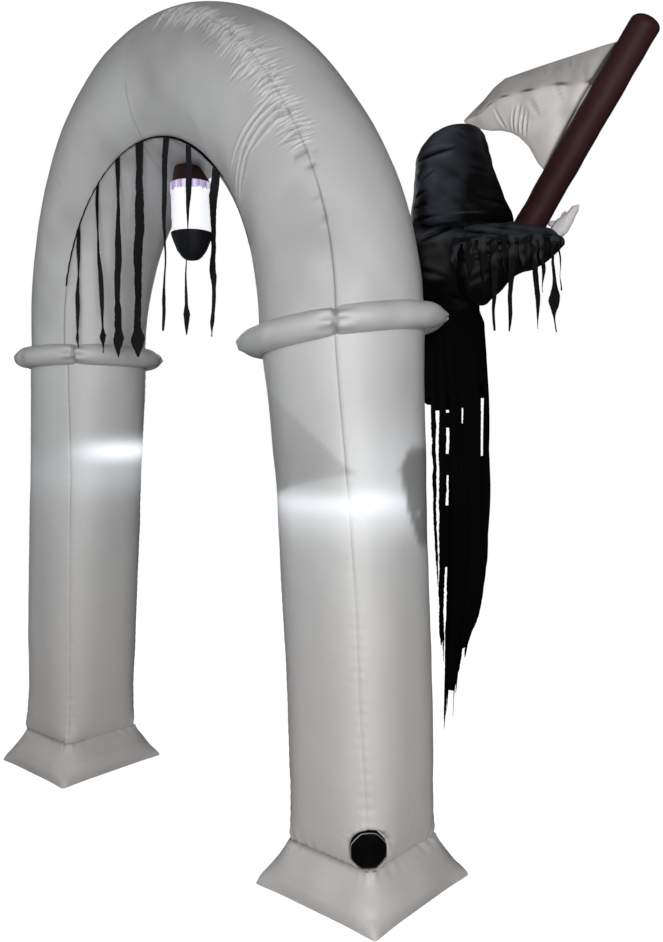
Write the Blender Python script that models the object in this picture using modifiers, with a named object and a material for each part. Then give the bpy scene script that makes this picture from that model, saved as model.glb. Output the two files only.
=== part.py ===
"""Inflatable walk-through arch with a hooded scythe bearer sewn behind one leg, at real size.

Metres, +Z up. The arch spans X and the visitor walks through along Y. Each air-filled piece is one closed
solid in its blown-up shape, each flat piece of cloth is a thin sheet in the shape in which it hangs.
Pieces are modelled about the arch's own middle and hang from one empty, which places the whole object
over the middle of its footprint.
"""

import math
from collections import namedtuple

import bmesh
import bpy
import numpy as np

# Place of the arch's middle from the middle of the whole footprint
ARCH_X = -0.2322
ARCH_Y = -0.1018

# Clearance between pieces that touch, and the cloth of the flat pieces
GAP = 0.0003
CLOTH = 0.0016

# The two legs and the bow that joins them
ROUND = 32
SPRING_Z = 1.621
SPRING_X = 0.6677
FOOT_X = 0.7445
INNER_SPAN = 0.5297
INNER_RISE = 0.6627
OUTER_SPAN = 0.8057
OUTER_RISE = 1.0398
SOFFIT_FLAT = 0.145
BOW_COARSE_STEP = 6.0
BOW_FINE_STEP = 2.5
PUCKER_FROM = 32.5
PUCKER_TO = 100.0
PUCKER_PITCH = 7.5
PUCKER_DEPTH = 0.009
PUCKER_TURN = -38.0
PUCKER_REACH = 34.0

LegSection = namedtuple("LegSection", "height half_width squareness")
LEG_SECTIONS = (
    LegSection(0.1303, 0.1585, 14.0),
    LegSection(0.150, 0.1690, 7.0),
    LegSection(0.190, 0.1780, 4.2),
    LegSection(0.300, 0.1835, 3.2),
    LegSection(0.550, 0.1890, 2.9),
    LegSection(0.850, 0.1965, 2.65),
    LegSection(1.150, 0.2030, 2.45),
    LegSection(1.400, 0.2170, 2.25),
    LegSection(1.530, 0.2290, 2.10),
    LegSection(1.621 - GAP / 2, 0.2365, 2.0),
)

# How the blown-up tubes stray from the even arch: sideways shifts and sizes, left leg and right leg
Stray = namedtuple("Stray", "height left_shift left_size right_shift right_size")
LEG_STRAY = (
    Stray(0.130, -0.010, 1.000, 0.006, 0.990),
    Stray(0.300, -0.006, 0.990, 0.012, 1.009),
    Stray(0.550, -0.001, 1.008, 0.018, 1.013),
    Stray(0.850, 0.008, 1.003, 0.020, 1.012),
    Stray(1.150, 0.017, 0.995, 0.020, 1.015),
    Stray(1.400, 0.0255, 0.963, 0.014, 1.014),
    Stray(1.530, 0.0295, 0.937, 0.010, 1.020),
    Stray(SPRING_Z, 0.0315, 0.9147, 0.0087, 1.0285),
)
BowStray = namedtuple("BowStray", "turn inner_shift outer_shift seam_y")
BOW_STRAY = (
    BowStray(0.0, 0.0014, 0.016, 0.1950),
    BowStray(14.0, 0.000, 0.015, 0.1935),
    BowStray(26.0, 0.000, 0.000, 0.192),
    BowStray(39.0, 0.000, -0.016, 0.192),
    BowStray(57.0, 0.000, -0.009, 0.192),
    BowStray(75.0, 0.000, 0.000, 0.192),
    BowStray(90.0, 0.000, 0.003, 0.192),
    BowStray(105.0, 0.000, 0.012, 0.192),
    BowStray(120.0, 0.000, 0.025, 0.192),
    BowStray(135.0, 0.000, 0.036, 0.191),
    BowStray(150.0, 0.002, 0.045, 0.189),
    BowStray(165.0, 0.006, 0.050, 0.186),
    BowStray(180.0, 0.012, 0.051, 0.181),
)

# Plinths
BaseSection = namedtuple("BaseSection", "height half_width squareness")
BASE_SECTIONS = (
    BaseSection(0.000, 0.2211, 60.0),
    BaseSection(0.010, 0.2235, 28.0),
    BaseSection(0.035, 0.2240, 12.0),
    BaseSection(0.070, 0.2110, 9.0),
    BaseSection(0.100, 0.1880, 9.0),
    BaseSection(0.120, 0.1690, 12.0),
    BaseSection(0.130, 0.1600, 16.0),
)

# Collars
COLLAR_WALL = 0.0485
COLLAR_CORNER = 0.0190
COLLAR_SEAT = 0.0030
COLLAR_HALF_HEIGHT = 0.0435
COLLAR_PINCH = 0.40
COLLAR_PINCH_TURN = 9.0
COLLAR_LOOP = 9
RIGHT_COLLAR_TURN = -8.0
RIGHT_COLLAR_TILT = 0.120
TILT_TURN = 41.3

# Blower inlet on the right leg's front outer corner
INLET_Z = 0.187
INLET_TURN = -45.0
INLET_RADIUS = 0.0495
INLET_RIM = 0.0055
INLET_FLOOR = 0.1800
INLET_FACE = 0.2130
GUARD_FACE = 0.2010

# Binding and torn strips on the front inner seam
BINDING_FROM = 22.0
BINDING_TO = 158.0
BINDING_DEPTH = 0.007
STRIP_Y = -0.2005
STRIP_ROWS = 13
STRIP_DROP = 0.0012
Strip = namedtuple("Strip", "top_x tip_x tip_z top thin thin_at leaf leaf_at sway")
STRIPS = (
    Strip(-0.385, -0.398, 1.636, 0.020, 0.007, 0.72, 0.020, 0.90, 0.004),
    Strip(-0.263, -0.245, 1.607, 0.014, 0.011, 0.70, 0.034, 0.90, -0.005),
    Strip(-0.143, -0.151, 1.584, 0.016, 0.028, 0.68, 0.055, 0.92, 0.005),
    Strip(-0.020, -0.042, 1.580, 0.028, 0.036, 0.75, 0.060, 0.93, 0.004),
    Strip(0.121, 0.091, 1.655, 0.021, 0.009, 0.35, 0.008, 0.88, -0.006),
    Strip(0.228, 0.211, 1.632, 0.024, 0.006, 0.45, 0.021, 0.90, 0.004),
    Strip(0.352, 0.329, 1.617, 0.021, 0.018, 0.66, 0.016, 0.92, -0.004),
)

# Lantern under the crown
LanternRing = namedtuple("LanternRing", "height radius shift")
LANTERN_CAP = (
    LanternRing(2.1800, 0.0655, 0.000),
    LanternRing(2.1860, 0.0640, -0.001),
    LanternRing(2.2050, 0.0560, -0.005),
    LanternRing(2.2240, 0.0455, -0.011),
    LanternRing(2.2360, 0.0390, -0.014),
    LanternRing(2.2420, 0.0300, -0.015),
)
LANTERN_BOWL = (
    LanternRing(1.9200, 0.0100, 0.0),
    LanternRing(1.9240, 0.0230, 0.0),
    LanternRing(1.9350, 0.0370, 0.0),
    LanternRing(1.9560, 0.0510, 0.0),
    LanternRing(1.9850, 0.0630, 0.0),
    LanternRing(2.0060, 0.0705, 0.0),
    LanternRing(2.0123, 0.0715, 0.0),
)
GLOBE_RADIUS = 0.0670
GLOBE_BULGE = 0.0015
FRILL_RADIUS = 0.0705
FRILL_WAVE = 0.0016
FRILL_WAVES = 14
FRILL_DROP = 0.027
LANTERN_ROUND = 20

# The bearer: torso, hood and sleeve are stacked oval sections
Oval = namedtuple("Oval", "height x y half_x half_y")
TORSO = (
    Oval(1.412, 0.778, 0.385, 0.060, 0.035),
    Oval(1.440, 0.777, 0.385, 0.105, 0.055),
    Oval(1.520, 0.775, 0.392, 0.128, 0.070),
    Oval(1.620, 0.775, 0.394, 0.122, 0.070),
    Oval(1.700, 0.785, 0.380, 0.115, 0.090),
    Oval(1.780, 0.797, 0.335, 0.122, 0.133),
    Oval(1.860, 0.804, 0.322, 0.128, 0.146),
    Oval(1.915, 0.806, 0.320, 0.124, 0.140),
    Oval(1.940 - GAP / 2, 0.808, 0.325, 0.104, 0.117),
)
HOOD = (
    Oval(1.940 + GAP / 2, 0.868, 0.345, 0.140, 0.130),
    Oval(1.958, 0.868, 0.345, 0.162, 0.151),
    Oval(1.985, 0.866, 0.345, 0.157, 0.148),
    Oval(2.040, 0.854, 0.345, 0.138, 0.136),
    Oval(2.110, 0.845, 0.345, 0.125, 0.126),
    Oval(2.160, 0.840, 0.345, 0.116, 0.117),
    Oval(2.205, 0.845, 0.345, 0.100, 0.099),
    Oval(2.232, 0.853, 0.345, 0.084, 0.082),
    Oval(2.247, 0.860, 0.345, 0.064, 0.060),
    Oval(2.254, 0.864, 0.345, 0.034, 0.032),
)
FIGURE_ROUND = 20
FACE_TURN = 75.0
FACE_HALF_TURN = 48.0
FACE_DEPTH = 0.045
FACE_Z = 2.090
FACE_HALF_HEIGHT = 0.115

# Sleeve and the other pieces that the arm holds run along X
SleeveSection = namedtuple("SleeveSection", "x middle_z half_height y half_depth")
SLEEVE = (
    SleeveSection(0.879, 1.838, 0.111, 0.350, 0.090),
    SleeveSection(0.932, 1.836, 0.131, 0.352, 0.100),
    SleeveSection(0.971, 1.849, 0.109, 0.362, 0.093),
    SleeveSection(1.004, 1.868, 0.085, 0.373, 0.082),
    SleeveSection(1.045, 1.871, 0.073, 0.389, 0.073),
    SleeveSection(1.078, 1.871, 0.066, 0.402, 0.064),
    SleeveSection(1.112, 1.877, 0.049, 0.418, 0.050),
    SleeveSection(1.140, 1.884, 0.032, 0.431, 0.034),
    SleeveSection(1.158, 1.881, 0.012, 0.440, 0.014),
)

# Torn trim in front of the sleeve: one band with its tatters, in the plane where it hangs
TRIM_TOP = 1.897
TRIM_LINE = 0.5
TRIM_BAND = 0.018
TRIM_STANDOFF = 0.004
TRIM_PITCH = 0.035
Tatter = namedtuple("Tatter", "left_x right_x tip_x bottom_z leaf")
TATTERS = (
    Tatter(0.905, 0.930, 0.915, 1.800, 0.000),
    Tatter(0.938, 0.968, 0.955, 1.775, 0.000),
    Tatter(0.977, 0.999, 0.990, 1.760, 0.000),
    Tatter(1.008, 1.026, 1.014, 1.619, 0.002),
    Tatter(1.034, 1.046, 1.040, 1.790, 0.000),
    Tatter(1.053, 1.068, 1.051, 1.617, 0.003),
    Tatter(1.076, 1.094, 1.085, 1.800, 0.000),
    Tatter(1.102, 1.115, 1.118, 1.622, 0.002),
    Tatter(1.122, 1.131, 1.127, 1.727, 0.000),
    Tatter(1.142, 1.149, 1.151, 1.614, 0.011),
    Tatter(1.156, 1.160, 1.162, 1.735, 0.000),
)
LEAF_AT = 0.66
LEAF_LENGTH = 0.13

# Scythe and hand lie in one upright plane
HELD_Y = 0.440
POLE_FROM = (1.035, 1.927)
POLE_TO = (1.396, 2.431)
POLE_RADIUS_LOW = 0.0455
POLE_RADIUS_TOP = 0.0425
POLE_ROUND = 16
POLE_DOME = 0.024
BladeSection = namedtuple("BladeSection", "top_x top_z low_x low_z half_thickness")
BLADE = (
    BladeSection(1.347, 2.407, 1.115, 2.079, 0.020),
    BladeSection(1.284, 2.410, 1.078, 2.124, 0.029),
    BladeSection(1.202, 2.409, 1.047, 2.180, 0.033),
    BladeSection(1.099, 2.408, 1.017, 2.214, 0.033),
    BladeSection(1.017, 2.406, 0.986, 2.237, 0.031),
    BladeSection(0.966, 2.404, 0.950, 2.252, 0.028),
    BladeSection(0.930, 2.388, 0.914, 2.260, 0.023),
    BladeSection(0.889, 2.357, 0.886, 2.270, 0.017),
    BladeSection(0.850, 2.334, 0.851, 2.287, 0.010),
    BladeSection(0.820, 2.314, 0.822, 2.305, 0.004),
)
BLADE_EDGE = 0.0018
BLADE_ACROSS = 6
FingerRing = namedtuple("FingerRing", "x z half_width half_depth")
PALM = (
    FingerRing(1.115, 1.893, 0.0180, 0.0160),
    FingerRing(1.136, 1.910, 0.0240, 0.0190),
    FingerRing(1.154, 1.926, 0.0260, 0.0190),
    FingerRing(1.170, 1.941, 0.0210, 0.0170),
    FingerRing(1.183, 1.955, 0.0140, 0.0130),
    FingerRing(1.197, 1.970, 0.0115, 0.0110),
    FingerRing(1.207, 1.978, 0.0060, 0.0060),
)
THUMB = (
    FingerRing(1.152, 1.931, 0.0090, 0.0090),
    FingerRing(1.158, 1.950, 0.0085, 0.0085),
    FingerRing(1.163, 1.961, 0.0075, 0.0075),
    FingerRing(1.165, 1.969, 0.0040, 0.0040),
)
CURLED_FINGER = (
    FingerRing(1.156, 1.923, 0.0100, 0.0100),
    FingerRing(1.135, 1.937, 0.0095, 0.0095),
    FingerRing(1.119, 1.939, 0.0080, 0.0080),
    FingerRing(1.111, 1.938, 0.0040, 0.0040),
)
FINGER_ROUND = 8

# Robe: a torn skirt hanging round the torso
ROBE_X = 0.771
ROBE_Y = 0.392
ROBE_YOKE_ROWS = (1.700, 1.665, 1.600, 1.520, 1.440)
ROBE_ROW = 0.045
ROBE_HALF_X = 0.155
ROBE_HALF_Y = 0.087
ROBE_CLEAR = 0.014
ROBE_GATHER = 0.004
ROBE_PLEAT = 0.007
Taper = namedtuple("Taper", "height share")
ROBE_TAPER = (
    Taper(0.360, 0.36),
    Taper(0.500, 0.48),
    Taper(0.650, 0.60),
    Taper(0.730, 0.70),
    Taper(0.800, 0.80),
    Taper(0.920, 0.92),
    Taper(1.110, 0.98),
    Taper(1.440, 1.00),
)
Rag = namedtuple("Rag", "from_turn to_turn bottom sway narrow slit_top")
RAGS = (
    Rag(196.0, 226.0, 0.523, 3.0, 0.30, 1.440),
    Rag(230.0, 264.0, 0.640, 2.0, 0.25, 1.440),
    Rag(274.0, 279.0, 0.830, 3.0, 0.50, 1.395),
    Rag(286.0, 293.5, 0.600, -4.0, 0.35, 1.440),
    Rag(297.5, 314.0, 0.360, -16.0, 0.30, 1.395),
    Rag(317.0, 347.0, 0.410, -10.0, 0.15, 1.480),
    Rag(356.0, 395.0, 0.600, -18.0, 0.12, 1.440),
    Rag(414.0, 443.0, 0.470, -3.0, 0.25, 1.440),
    Rag(449.0, 463.0, 0.400, 2.0, 0.30, 1.395),
    Rag(470.0, 477.0, 0.560, -2.0, 0.40, 1.440),
    Rag(498.0, 526.0, 0.620, 4.0, 0.25, 1.440),
    Rag(530.0, 552.0, 0.560, 4.0, 0.25, 1.440),
)
Bridge = namedtuple("Bridge", "after_rag top bottom")
ROBE_BRIDGES = (
    Bridge(3, 1.390, 1.340),
    Bridge(3, 1.260, 1.190),
    Bridge(3, 1.100, 0.900),
    Bridge(4, 1.350, 0.500),
    Bridge(5, 1.250, 0.960),
)

# Colours: name, red, green, blue, roughness
COLOURS = {
    "pale nylon": (0.62, 0.61, 0.59, 0.55),
    "black nylon": (0.012, 0.012, 0.014, 0.50),
    "torn black cloth": (0.016, 0.016, 0.017, 0.80),
    "brown black nylon": (0.035, 0.018, 0.016, 0.50),
    "violet frill": (0.36, 0.28, 0.50, 0.60),
    "clear globe": (0.90, 0.90, 0.92, 0.30),
    "dark red nylon": (0.075, 0.028, 0.030, 0.50),
    "blade nylon": (0.60, 0.57, 0.53, 0.55),
    "glove nylon": (0.75, 0.74, 0.74, 0.55),
    "guard plastic": (0.010, 0.010, 0.011, 0.60),
}


def clear_scene():
    for found in list(bpy.data.objects):
        bpy.data.objects.remove(found, do_unlink=True)


def material(name):
    found = bpy.data.materials.get(name)
    if found:
        return found
    red, green, blue, roughness = COLOURS[name]
    made = bpy.data.materials.new(name)
    made.use_nodes = True
    shader = made.node_tree.nodes["Principled BSDF"]
    shader.inputs["Base Color"].default_value = (red, green, blue, 1.0)
    shader.inputs["Roughness"].default_value = roughness
    shader.inputs["Metallic"].default_value = 0.0
    return made


clear_scene()
parts = bpy.data.collections.new("inflatable_archway")
cutters = bpy.data.collections.new("cutters")
bpy.context.scene.collection.children.link(parts)
bpy.context.scene.collection.children.link(cutters)
arch_middle = bpy.data.objects.new("arch_middle", None)
arch_middle.location = (ARCH_X, ARCH_Y, 0.0)
parts.objects.link(arch_middle)


def add_piece(name, points, faces, colour, collection=None, solid=True):
    """One object from points and faces, its normals turned outwards, hung from the arch's middle."""
    mesh = bpy.data.meshes.new(name)
    mesh.from_pydata([tuple(map(float, point)) for point in points], [], faces)
    shape = bmesh.new()
    shape.from_mesh(mesh)
    loose = [vertex for vertex in shape.verts if not vertex.link_faces]
    bmesh.ops.delete(shape, geom=loose, context="VERTS")
    bmesh.ops.recalc_face_normals(shape, faces=shape.faces)
    if solid:
        bmesh.ops.triangulate(shape, faces=shape.faces)
    shape.to_mesh(mesh)
    shape.free()
    mesh.shade_smooth()
    mesh.set_sharp_from_angle(angle=math.radians(40.0))
    mesh.materials.append(material(colour))
    piece = bpy.data.objects.new(name, mesh)
    (collection or parts).objects.link(piece)
    piece.parent = arch_middle
    return piece


def turns(count):
    """Equal turns round a circle."""
    return np.arange(count) * 2.0 * math.pi / count


def grid_faces(rows, columns, keep=None, wrap_columns=False, wrap_rows=False):
    """Four-sided faces between neighbouring points of a grid, without the cells where keep is False."""
    faces = []
    for row in range(rows if wrap_rows else rows - 1):
        for column in range(columns if wrap_columns else columns - 1):
            if keep is not None and not keep[row][column]:
                continue
            below = (row + 1) % rows
            beside = (column + 1) % columns
            faces.append(
                (
                    row * columns + column,
                    row * columns + beside,
                    below * columns + beside,
                    below * columns + column,
                )
            )
    return faces


def air_tube(name, rings, colour, collection=None):
    """Skin through a stack of closed rings, with a flat face at each end."""
    rings = np.asarray(rings)
    rows, columns = rings.shape[:2]
    faces = grid_faces(rows, columns, wrap_columns=True)
    faces.append(tuple(range(columns)))
    faces.append(tuple((rows - 1) * columns + column for column in range(columns)))
    return add_piece(name, rings.reshape(-1, 3), faces, colour, collection)


def cloth_sheet(name, points, keep, colour, wrap=False):
    """Thin cloth through a grid of points, open in the cells where keep is False."""
    points = np.asarray(points)
    rows, columns = points.shape[:2]
    faces = grid_faces(rows, columns, keep, wrap_columns=wrap)
    piece = add_piece(name, points.reshape(-1, 3), faces, colour, solid=False)
    thickness = piece.modifiers.new("cloth thickness", "SOLIDIFY")
    thickness.thickness = CLOTH
    thickness.offset = 0.0
    return piece


def grown_copy(piece, by):
    """Cutter of a piece's own shape, grown by the clearance."""
    mesh = piece.data.copy()
    mesh.name = piece.name + "_clearance"
    count = len(mesh.vertices)
    places = np.empty(count * 3)
    outwards = np.empty(count * 3)
    mesh.vertices.foreach_get("co", places)
    mesh.vertex_normals.foreach_get("vector", outwards)
    mesh.vertices.foreach_set("co", places + outwards * by)
    cutter = bpy.data.objects.new(mesh.name, mesh)
    cutters.objects.link(cutter)
    cutter.parent = arch_middle
    cutter.hide_render = True
    cutter.display_type = "WIRE"
    return cutter


def join(piece, other, operation):
    change = piece.modifiers.new(operation.lower() + " " + other.name, "BOOLEAN")
    change.operation = operation
    change.object = other
    change.solver = "EXACT"


def cut_clear_of(piece, neighbour):
    """The piece ends at its neighbour's skin, with the usual clearance."""
    join(piece, grown_copy(neighbour, GAP + 0.0003), "DIFFERENCE")


def square_reach(turn, half_width, squareness):
    """Reach of a rounded square from its middle, each way round: a superellipse."""
    across = np.abs(np.cos(turn)) ** squareness
    along = np.abs(np.sin(turn)) ** squareness
    return half_width / (across + along) ** (1.0 / squareness)


def read_table(table, column, at):
    """Value of one of a table's columns, read between its rows, which run along its first column."""
    return np.interp(at, [row[0] for row in table], [getattr(row, column) for row in table])


def leg_middle(height, side):
    """The legs lean together: place of a leg's middle along X."""
    even = FOOT_X + (SPRING_X - FOOT_X) * height / SPRING_Z
    return side * even + read_table(LEG_STRAY, "left_shift" if side < 0 else "right_shift", height)


def leg_size(height, side):
    return read_table(LEG_STRAY, "left_size" if side < 0 else "right_size", height)


def square_stack(sections, middle, size):
    """Rings of rounded squares, one above the other."""
    turn = turns(ROUND)
    rings = []
    for section in sections:
        reach = square_reach(turn, section.half_width * size(section.height), section.squareness)
        x = middle(section.height) + reach * np.cos(turn)
        y = reach * np.sin(turn)
        rings.append(np.stack([x, y, np.full(ROUND, section.height)], axis=1))
    return rings


def seams(along):
    """Points of the inner and the outer seam, seen from the front, and how far both lie from the middle."""
    degrees = math.degrees(along)
    inner_x = INNER_SPAN * math.cos(along) + read_table(BOW_STRAY, "inner_shift", degrees)
    outer_x = OUTER_SPAN * math.cos(along) + read_table(BOW_STRAY, "outer_shift", degrees)
    inner = np.array([inner_x, 0.0, SPRING_Z + INNER_RISE * math.sin(along)])
    outer = np.array([outer_x, 0.0, SPRING_Z + OUTER_RISE * math.sin(along)])
    return inner, outer, read_table(BOW_STRAY, "seam_y", degrees)


def bow_angles():
    """Turns along the bow: closer together where its outer panel is puckered."""
    coarse_right = np.arange(0.0, PUCKER_FROM, BOW_COARSE_STEP + 0.5)
    fine = np.arange(PUCKER_FROM, PUCKER_TO + 0.1, BOW_FINE_STEP)
    coarse_left = np.linspace(PUCKER_TO, 180.0, 14)[1:]
    return np.radians(np.concatenate([coarse_right, fine, coarse_left]))


def pucker(along, turn):
    """How far the gathered outer seam draws the skin in, at a turn along the bow and round the tube."""
    degrees = math.degrees(along)
    wave = 0.5 + 0.5 * math.cos(2.0 * math.pi * (degrees - PUCKER_FROM) / PUCKER_PITCH)
    uneven = 0.75 + 0.25 * math.sin(degrees * 0.21 + 1.0)
    fade = math.sin(math.pi * np.clip((degrees - 25.0) / (PUCKER_TO + 5.0 - 25.0), 0.0, 1.0)) ** 0.5
    off_seam = (np.degrees(turn) - PUCKER_TURN + 180.0) % 360.0 - 180.0
    near_seam = np.exp(-((off_seam / PUCKER_REACH) ** 2))
    return PUCKER_DEPTH * wave * uneven * fade * near_seam


def bow_ring(along):
    """Section of the bow: a circle through its four seams, flatter on the inner panel."""
    inner, outer, seam_y = seams(along)
    half = np.linalg.norm(outer - inner) / 2.0
    outwards = (outer - inner) / (2.0 * half)
    radius = math.hypot(half, seam_y)
    turn = turns(ROUND)
    inner_panel = np.clip(np.cos(2.0 * (turn - math.pi)), 0.0, 1.0) * (np.cos(turn) < 0.0)
    reach = radius * (1.0 - SOFFIT_FLAT * math.sin(along) ** 2 * inner_panel)
    reach = reach - pucker(along, turn)
    middle = (inner + outer) / 2.0
    ring = middle + np.outer(reach * np.cos(turn), outwards)
    ring[:, 1] += reach * np.sin(turn)
    return ring


def make_arch():
    legs = {}
    for name, side in (("leg_left", -1.0), ("leg_right", 1.0)):
        stack = square_stack(
            LEG_SECTIONS,
            lambda height, side=side: leg_middle(height, side),
            lambda height, side=side: leg_size(height, side),
        )
        legs[name] = air_tube(name, stack, "pale nylon")
    rings = np.array([bow_ring(along) for along in bow_angles()])
    rings[0, :, 2] += GAP / 2.0
    rings[-1, :, 2] += GAP / 2.0
    bow = air_tube("arch_bow", rings, "pale nylon")
    for name, side in (("base_left", -1.0), ("base_right", 1.0)):
        stack = square_stack(BASE_SECTIONS, lambda height, side=side: side * FOOT_X, lambda height: 1.0)
        air_tube(name, stack, "pale nylon")
    return legs, bow


def make_collar(name, side, corner_turn, tilt, inside):
    """Ring round the top of a leg: a half-oval section carried round, pinched at its four mitres."""
    turn = turns(ROUND) + math.radians(corner_turn)
    from_corner = np.degrees(np.abs((turn - math.radians(corner_turn)) % (math.pi / 2) - math.pi / 4))
    corner = np.abs(np.sin(2.0 * (turn - math.radians(corner_turn)))) ** 3
    tube = LEG_SECTIONS[-1].half_width * leg_size(SPRING_Z, side)
    seat = tube - COLLAR_SEAT
    reach = tube + COLLAR_WALL + COLLAR_CORNER * corner
    half_height = COLLAR_HALF_HEIGHT * (
        1.0 - COLLAR_PINCH * np.exp(-((from_corner / COLLAR_PINCH_TURN) ** 2))
    )
    middle_z = SPRING_Z + tilt * reach * np.cos(turn - math.radians(TILT_TURN))
    bend = np.linspace(-math.pi / 2, math.pi / 2, COLLAR_LOOP)
    rings = []
    for index in range(ROUND):
        radius = seat + (reach[index] - seat) * np.cos(bend) ** 0.75
        radius[0] = radius[-1] = seat
        x = leg_middle(SPRING_Z, side) + radius * math.cos(turn[index])
        y = radius * math.sin(turn[index])
        z = middle_z[index] + half_height[index] * np.sin(bend)
        rings.append(np.stack([x, y, z], axis=1))
    rings = np.array(rings)
    faces = grid_faces(ROUND, COLLAR_LOOP, wrap_columns=True, wrap_rows=True)
    collar = add_piece(name, rings.reshape(-1, 3), faces, "pale nylon")
    for piece in inside:
        cut_clear_of(collar, piece)
    return collar


def disc(name, radius, bottom, top, colour, collection=None, hole=None):
    """Round plate facing out of the leg's front outer corner, its depths measured from the leg's middle."""
    facing = np.array([math.cos(math.radians(INLET_TURN)), math.sin(math.radians(INLET_TURN)), 0.0])
    beside = np.array([-facing[1], facing[0], 0.0])
    middle = np.array([leg_middle(INLET_Z, 1.0), 0.0, INLET_Z])
    turn = turns(24)
    outline = np.outer(np.cos(turn), beside) + np.outer(np.sin(turn), (0.0, 0.0, 1.0))
    if hole is None:
        rings = [middle + facing * depth + radius * outline for depth in (bottom, top)]
        return air_tube(name, rings, colour, collection)
    rings = [
        middle + facing * depth + size * outline
        for size, depth in ((radius, bottom), (radius, top), (hole, top), (hole, bottom))
    ]
    faces = grid_faces(4, len(turn), wrap_columns=True, wrap_rows=True)
    return add_piece(name, np.concatenate(rings), faces, colour, collection)


def make_inlet(leg):
    pocket = disc("inlet_pocket", INLET_RADIUS + 2 * GAP, INLET_FLOOR - GAP, 0.260, "guard plastic", cutters)
    pocket.hide_render = True
    pocket.display_type = "WIRE"
    join(leg, pocket, "DIFFERENCE")
    inside = INLET_RADIUS - INLET_RIM
    disc("inlet_rim", INLET_RADIUS, INLET_FLOOR, INLET_FACE, "pale nylon", hole=inside)
    disc("inlet_guard", inside - GAP, INLET_FLOOR, GUARD_FACE, "guard plastic")


def binding_edge():
    """Outer edge of the binding, which stands off the front inner seam along the tube's own outward way."""
    inner_edge = []
    outer_edge = []
    for along in bow_angles():
        if not BINDING_FROM <= math.degrees(along) <= BINDING_TO:
            continue
        inner, outer, seam_y = seams(along)
        towards = (inner - outer) / 2.0
        forward = np.array([0.0, -seam_y, 0.0])
        outwards = (towards + forward) / np.linalg.norm(towards + forward)
        seam = inner + forward
        inner_edge.append(seam + outwards * (2 * GAP + 0.0002))
        outer_edge.append(seam + outwards * (CLOTH + BINDING_DEPTH))
    return np.array(inner_edge), np.array(outer_edge)


def make_binding_and_strips():
    inner_edge, outer_edge = binding_edge()
    grid = np.stack([inner_edge, outer_edge], axis=1)
    cloth_sheet("strip_binding", grid, None, "torn black cloth")
    order = np.argsort(outer_edge[:, 0])
    share = np.linspace(0.0, 1.0, STRIP_ROWS)
    for number, strip in enumerate(STRIPS, 1):
        stations = (0.0, 0.10, strip.thin_at, strip.leaf_at - 0.07, strip.leaf_at, 1.0)
        widths = (strip.top, strip.top, strip.thin, strip.thin, strip.leaf, 0.003)
        half = np.interp(share, stations, widths) / 2.0
        middle = strip.top_x + (strip.tip_x - strip.top_x) * share
        middle = middle + strip.sway * np.sin(2.0 * math.pi * share)
        rows = []
        for side in (-1.0, 1.0):
            x = middle + side * half
            top_z = np.interp(x[0], outer_edge[order, 0], outer_edge[order, 2]) - STRIP_DROP
            top_y = np.interp(x[0], outer_edge[order, 0], outer_edge[order, 1])
            z = top_z + (strip.tip_z - top_z) * share
            hanging = np.minimum(share * 6.0, 1.0)
            y = STRIP_Y + side * 0.002 * np.sin(3.0 * math.pi * share + number)
            y = top_y + (y - top_y) * hanging
            rows.append(np.stack([x, y, z], axis=1))
        cloth_sheet(f"strip_{number}", np.stack(rows, axis=1), None, "torn black cloth")


def turned(name, rings, colour, count=LANTERN_ROUND):
    """Turned piece: round sections stacked, each set aside along X by its shift."""
    turn = turns(count)
    stack = [
        np.stack(
            [ring.shift + ring.radius * np.cos(turn), ring.radius * np.sin(turn), np.full(count, ring.height)],
            axis=1,
        )
        for ring in rings
    ]
    return air_tube(name, stack, colour)


def make_lantern(bow):
    cut_clear_of(turned("lantern_cap", LANTERN_CAP, "brown black nylon"), bow)
    turned("lantern_bowl", LANTERN_BOWL, "black nylon")
    bottom = LANTERN_BOWL[-1].height + GAP
    top = LANTERN_CAP[0].height - GAP
    share = np.linspace(0.0, 1.0, 5)
    globe = [
        LanternRing(bottom + (top - bottom) * at, GLOBE_RADIUS + GLOBE_BULGE * math.sin(math.pi * at), 0.0)
        for at in share
    ]
    turned("lantern_globe", globe, "clear globe")
    count = FRILL_WAVES * 3
    turn = turns(count)
    rows = []
    for drop in (CLOTH, FRILL_DROP):
        radius = FRILL_RADIUS + FRILL_WAVE * np.sin(FRILL_WAVES * turn)
        hem = top - drop - 0.002 * np.sin(5.0 * turn) * (drop > CLOTH)
        rows.append(np.stack([radius * np.cos(turn), radius * np.sin(turn), hem], axis=1))
    cloth_sheet("lantern_frill", rows, None, "violet frill", wrap=True)


def oval_stack(ovals):
    turn = turns(FIGURE_ROUND)
    return np.array(
        [
            np.stack(
                [
                    oval.x + oval.half_x * np.cos(turn),
                    oval.y + oval.half_y * np.sin(turn),
                    np.full(FIGURE_ROUND, oval.height),
                ],
                axis=1,
            )
            for oval in ovals
        ]
    )


def make_hood(sleeve):
    """Puffed hood with a shallow dark hollow where a face would be, on the side away from the arch."""
    rings = oval_stack(HOOD)
    turn = turns(FIGURE_ROUND)
    off_face = np.degrees(np.abs((turn - math.radians(FACE_TURN) + math.pi) % (2.0 * math.pi) - math.pi))
    around = np.clip(1.0 - (off_face / FACE_HALF_TURN) ** 2, 0.0, 1.0)
    for ring in rings:
        up = np.clip(1.0 - ((ring[0, 2] - FACE_Z) / FACE_HALF_HEIGHT) ** 2, 0.0, 1.0)
        push = FACE_DEPTH * around * up
        ring[:, 0] -= push * math.cos(math.radians(FACE_TURN))
        ring[:, 1] -= push * math.sin(math.radians(FACE_TURN))
    hood = air_tube("hood", rings, "black nylon")
    cut_clear_of(hood, sleeve)
    return hood


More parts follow.
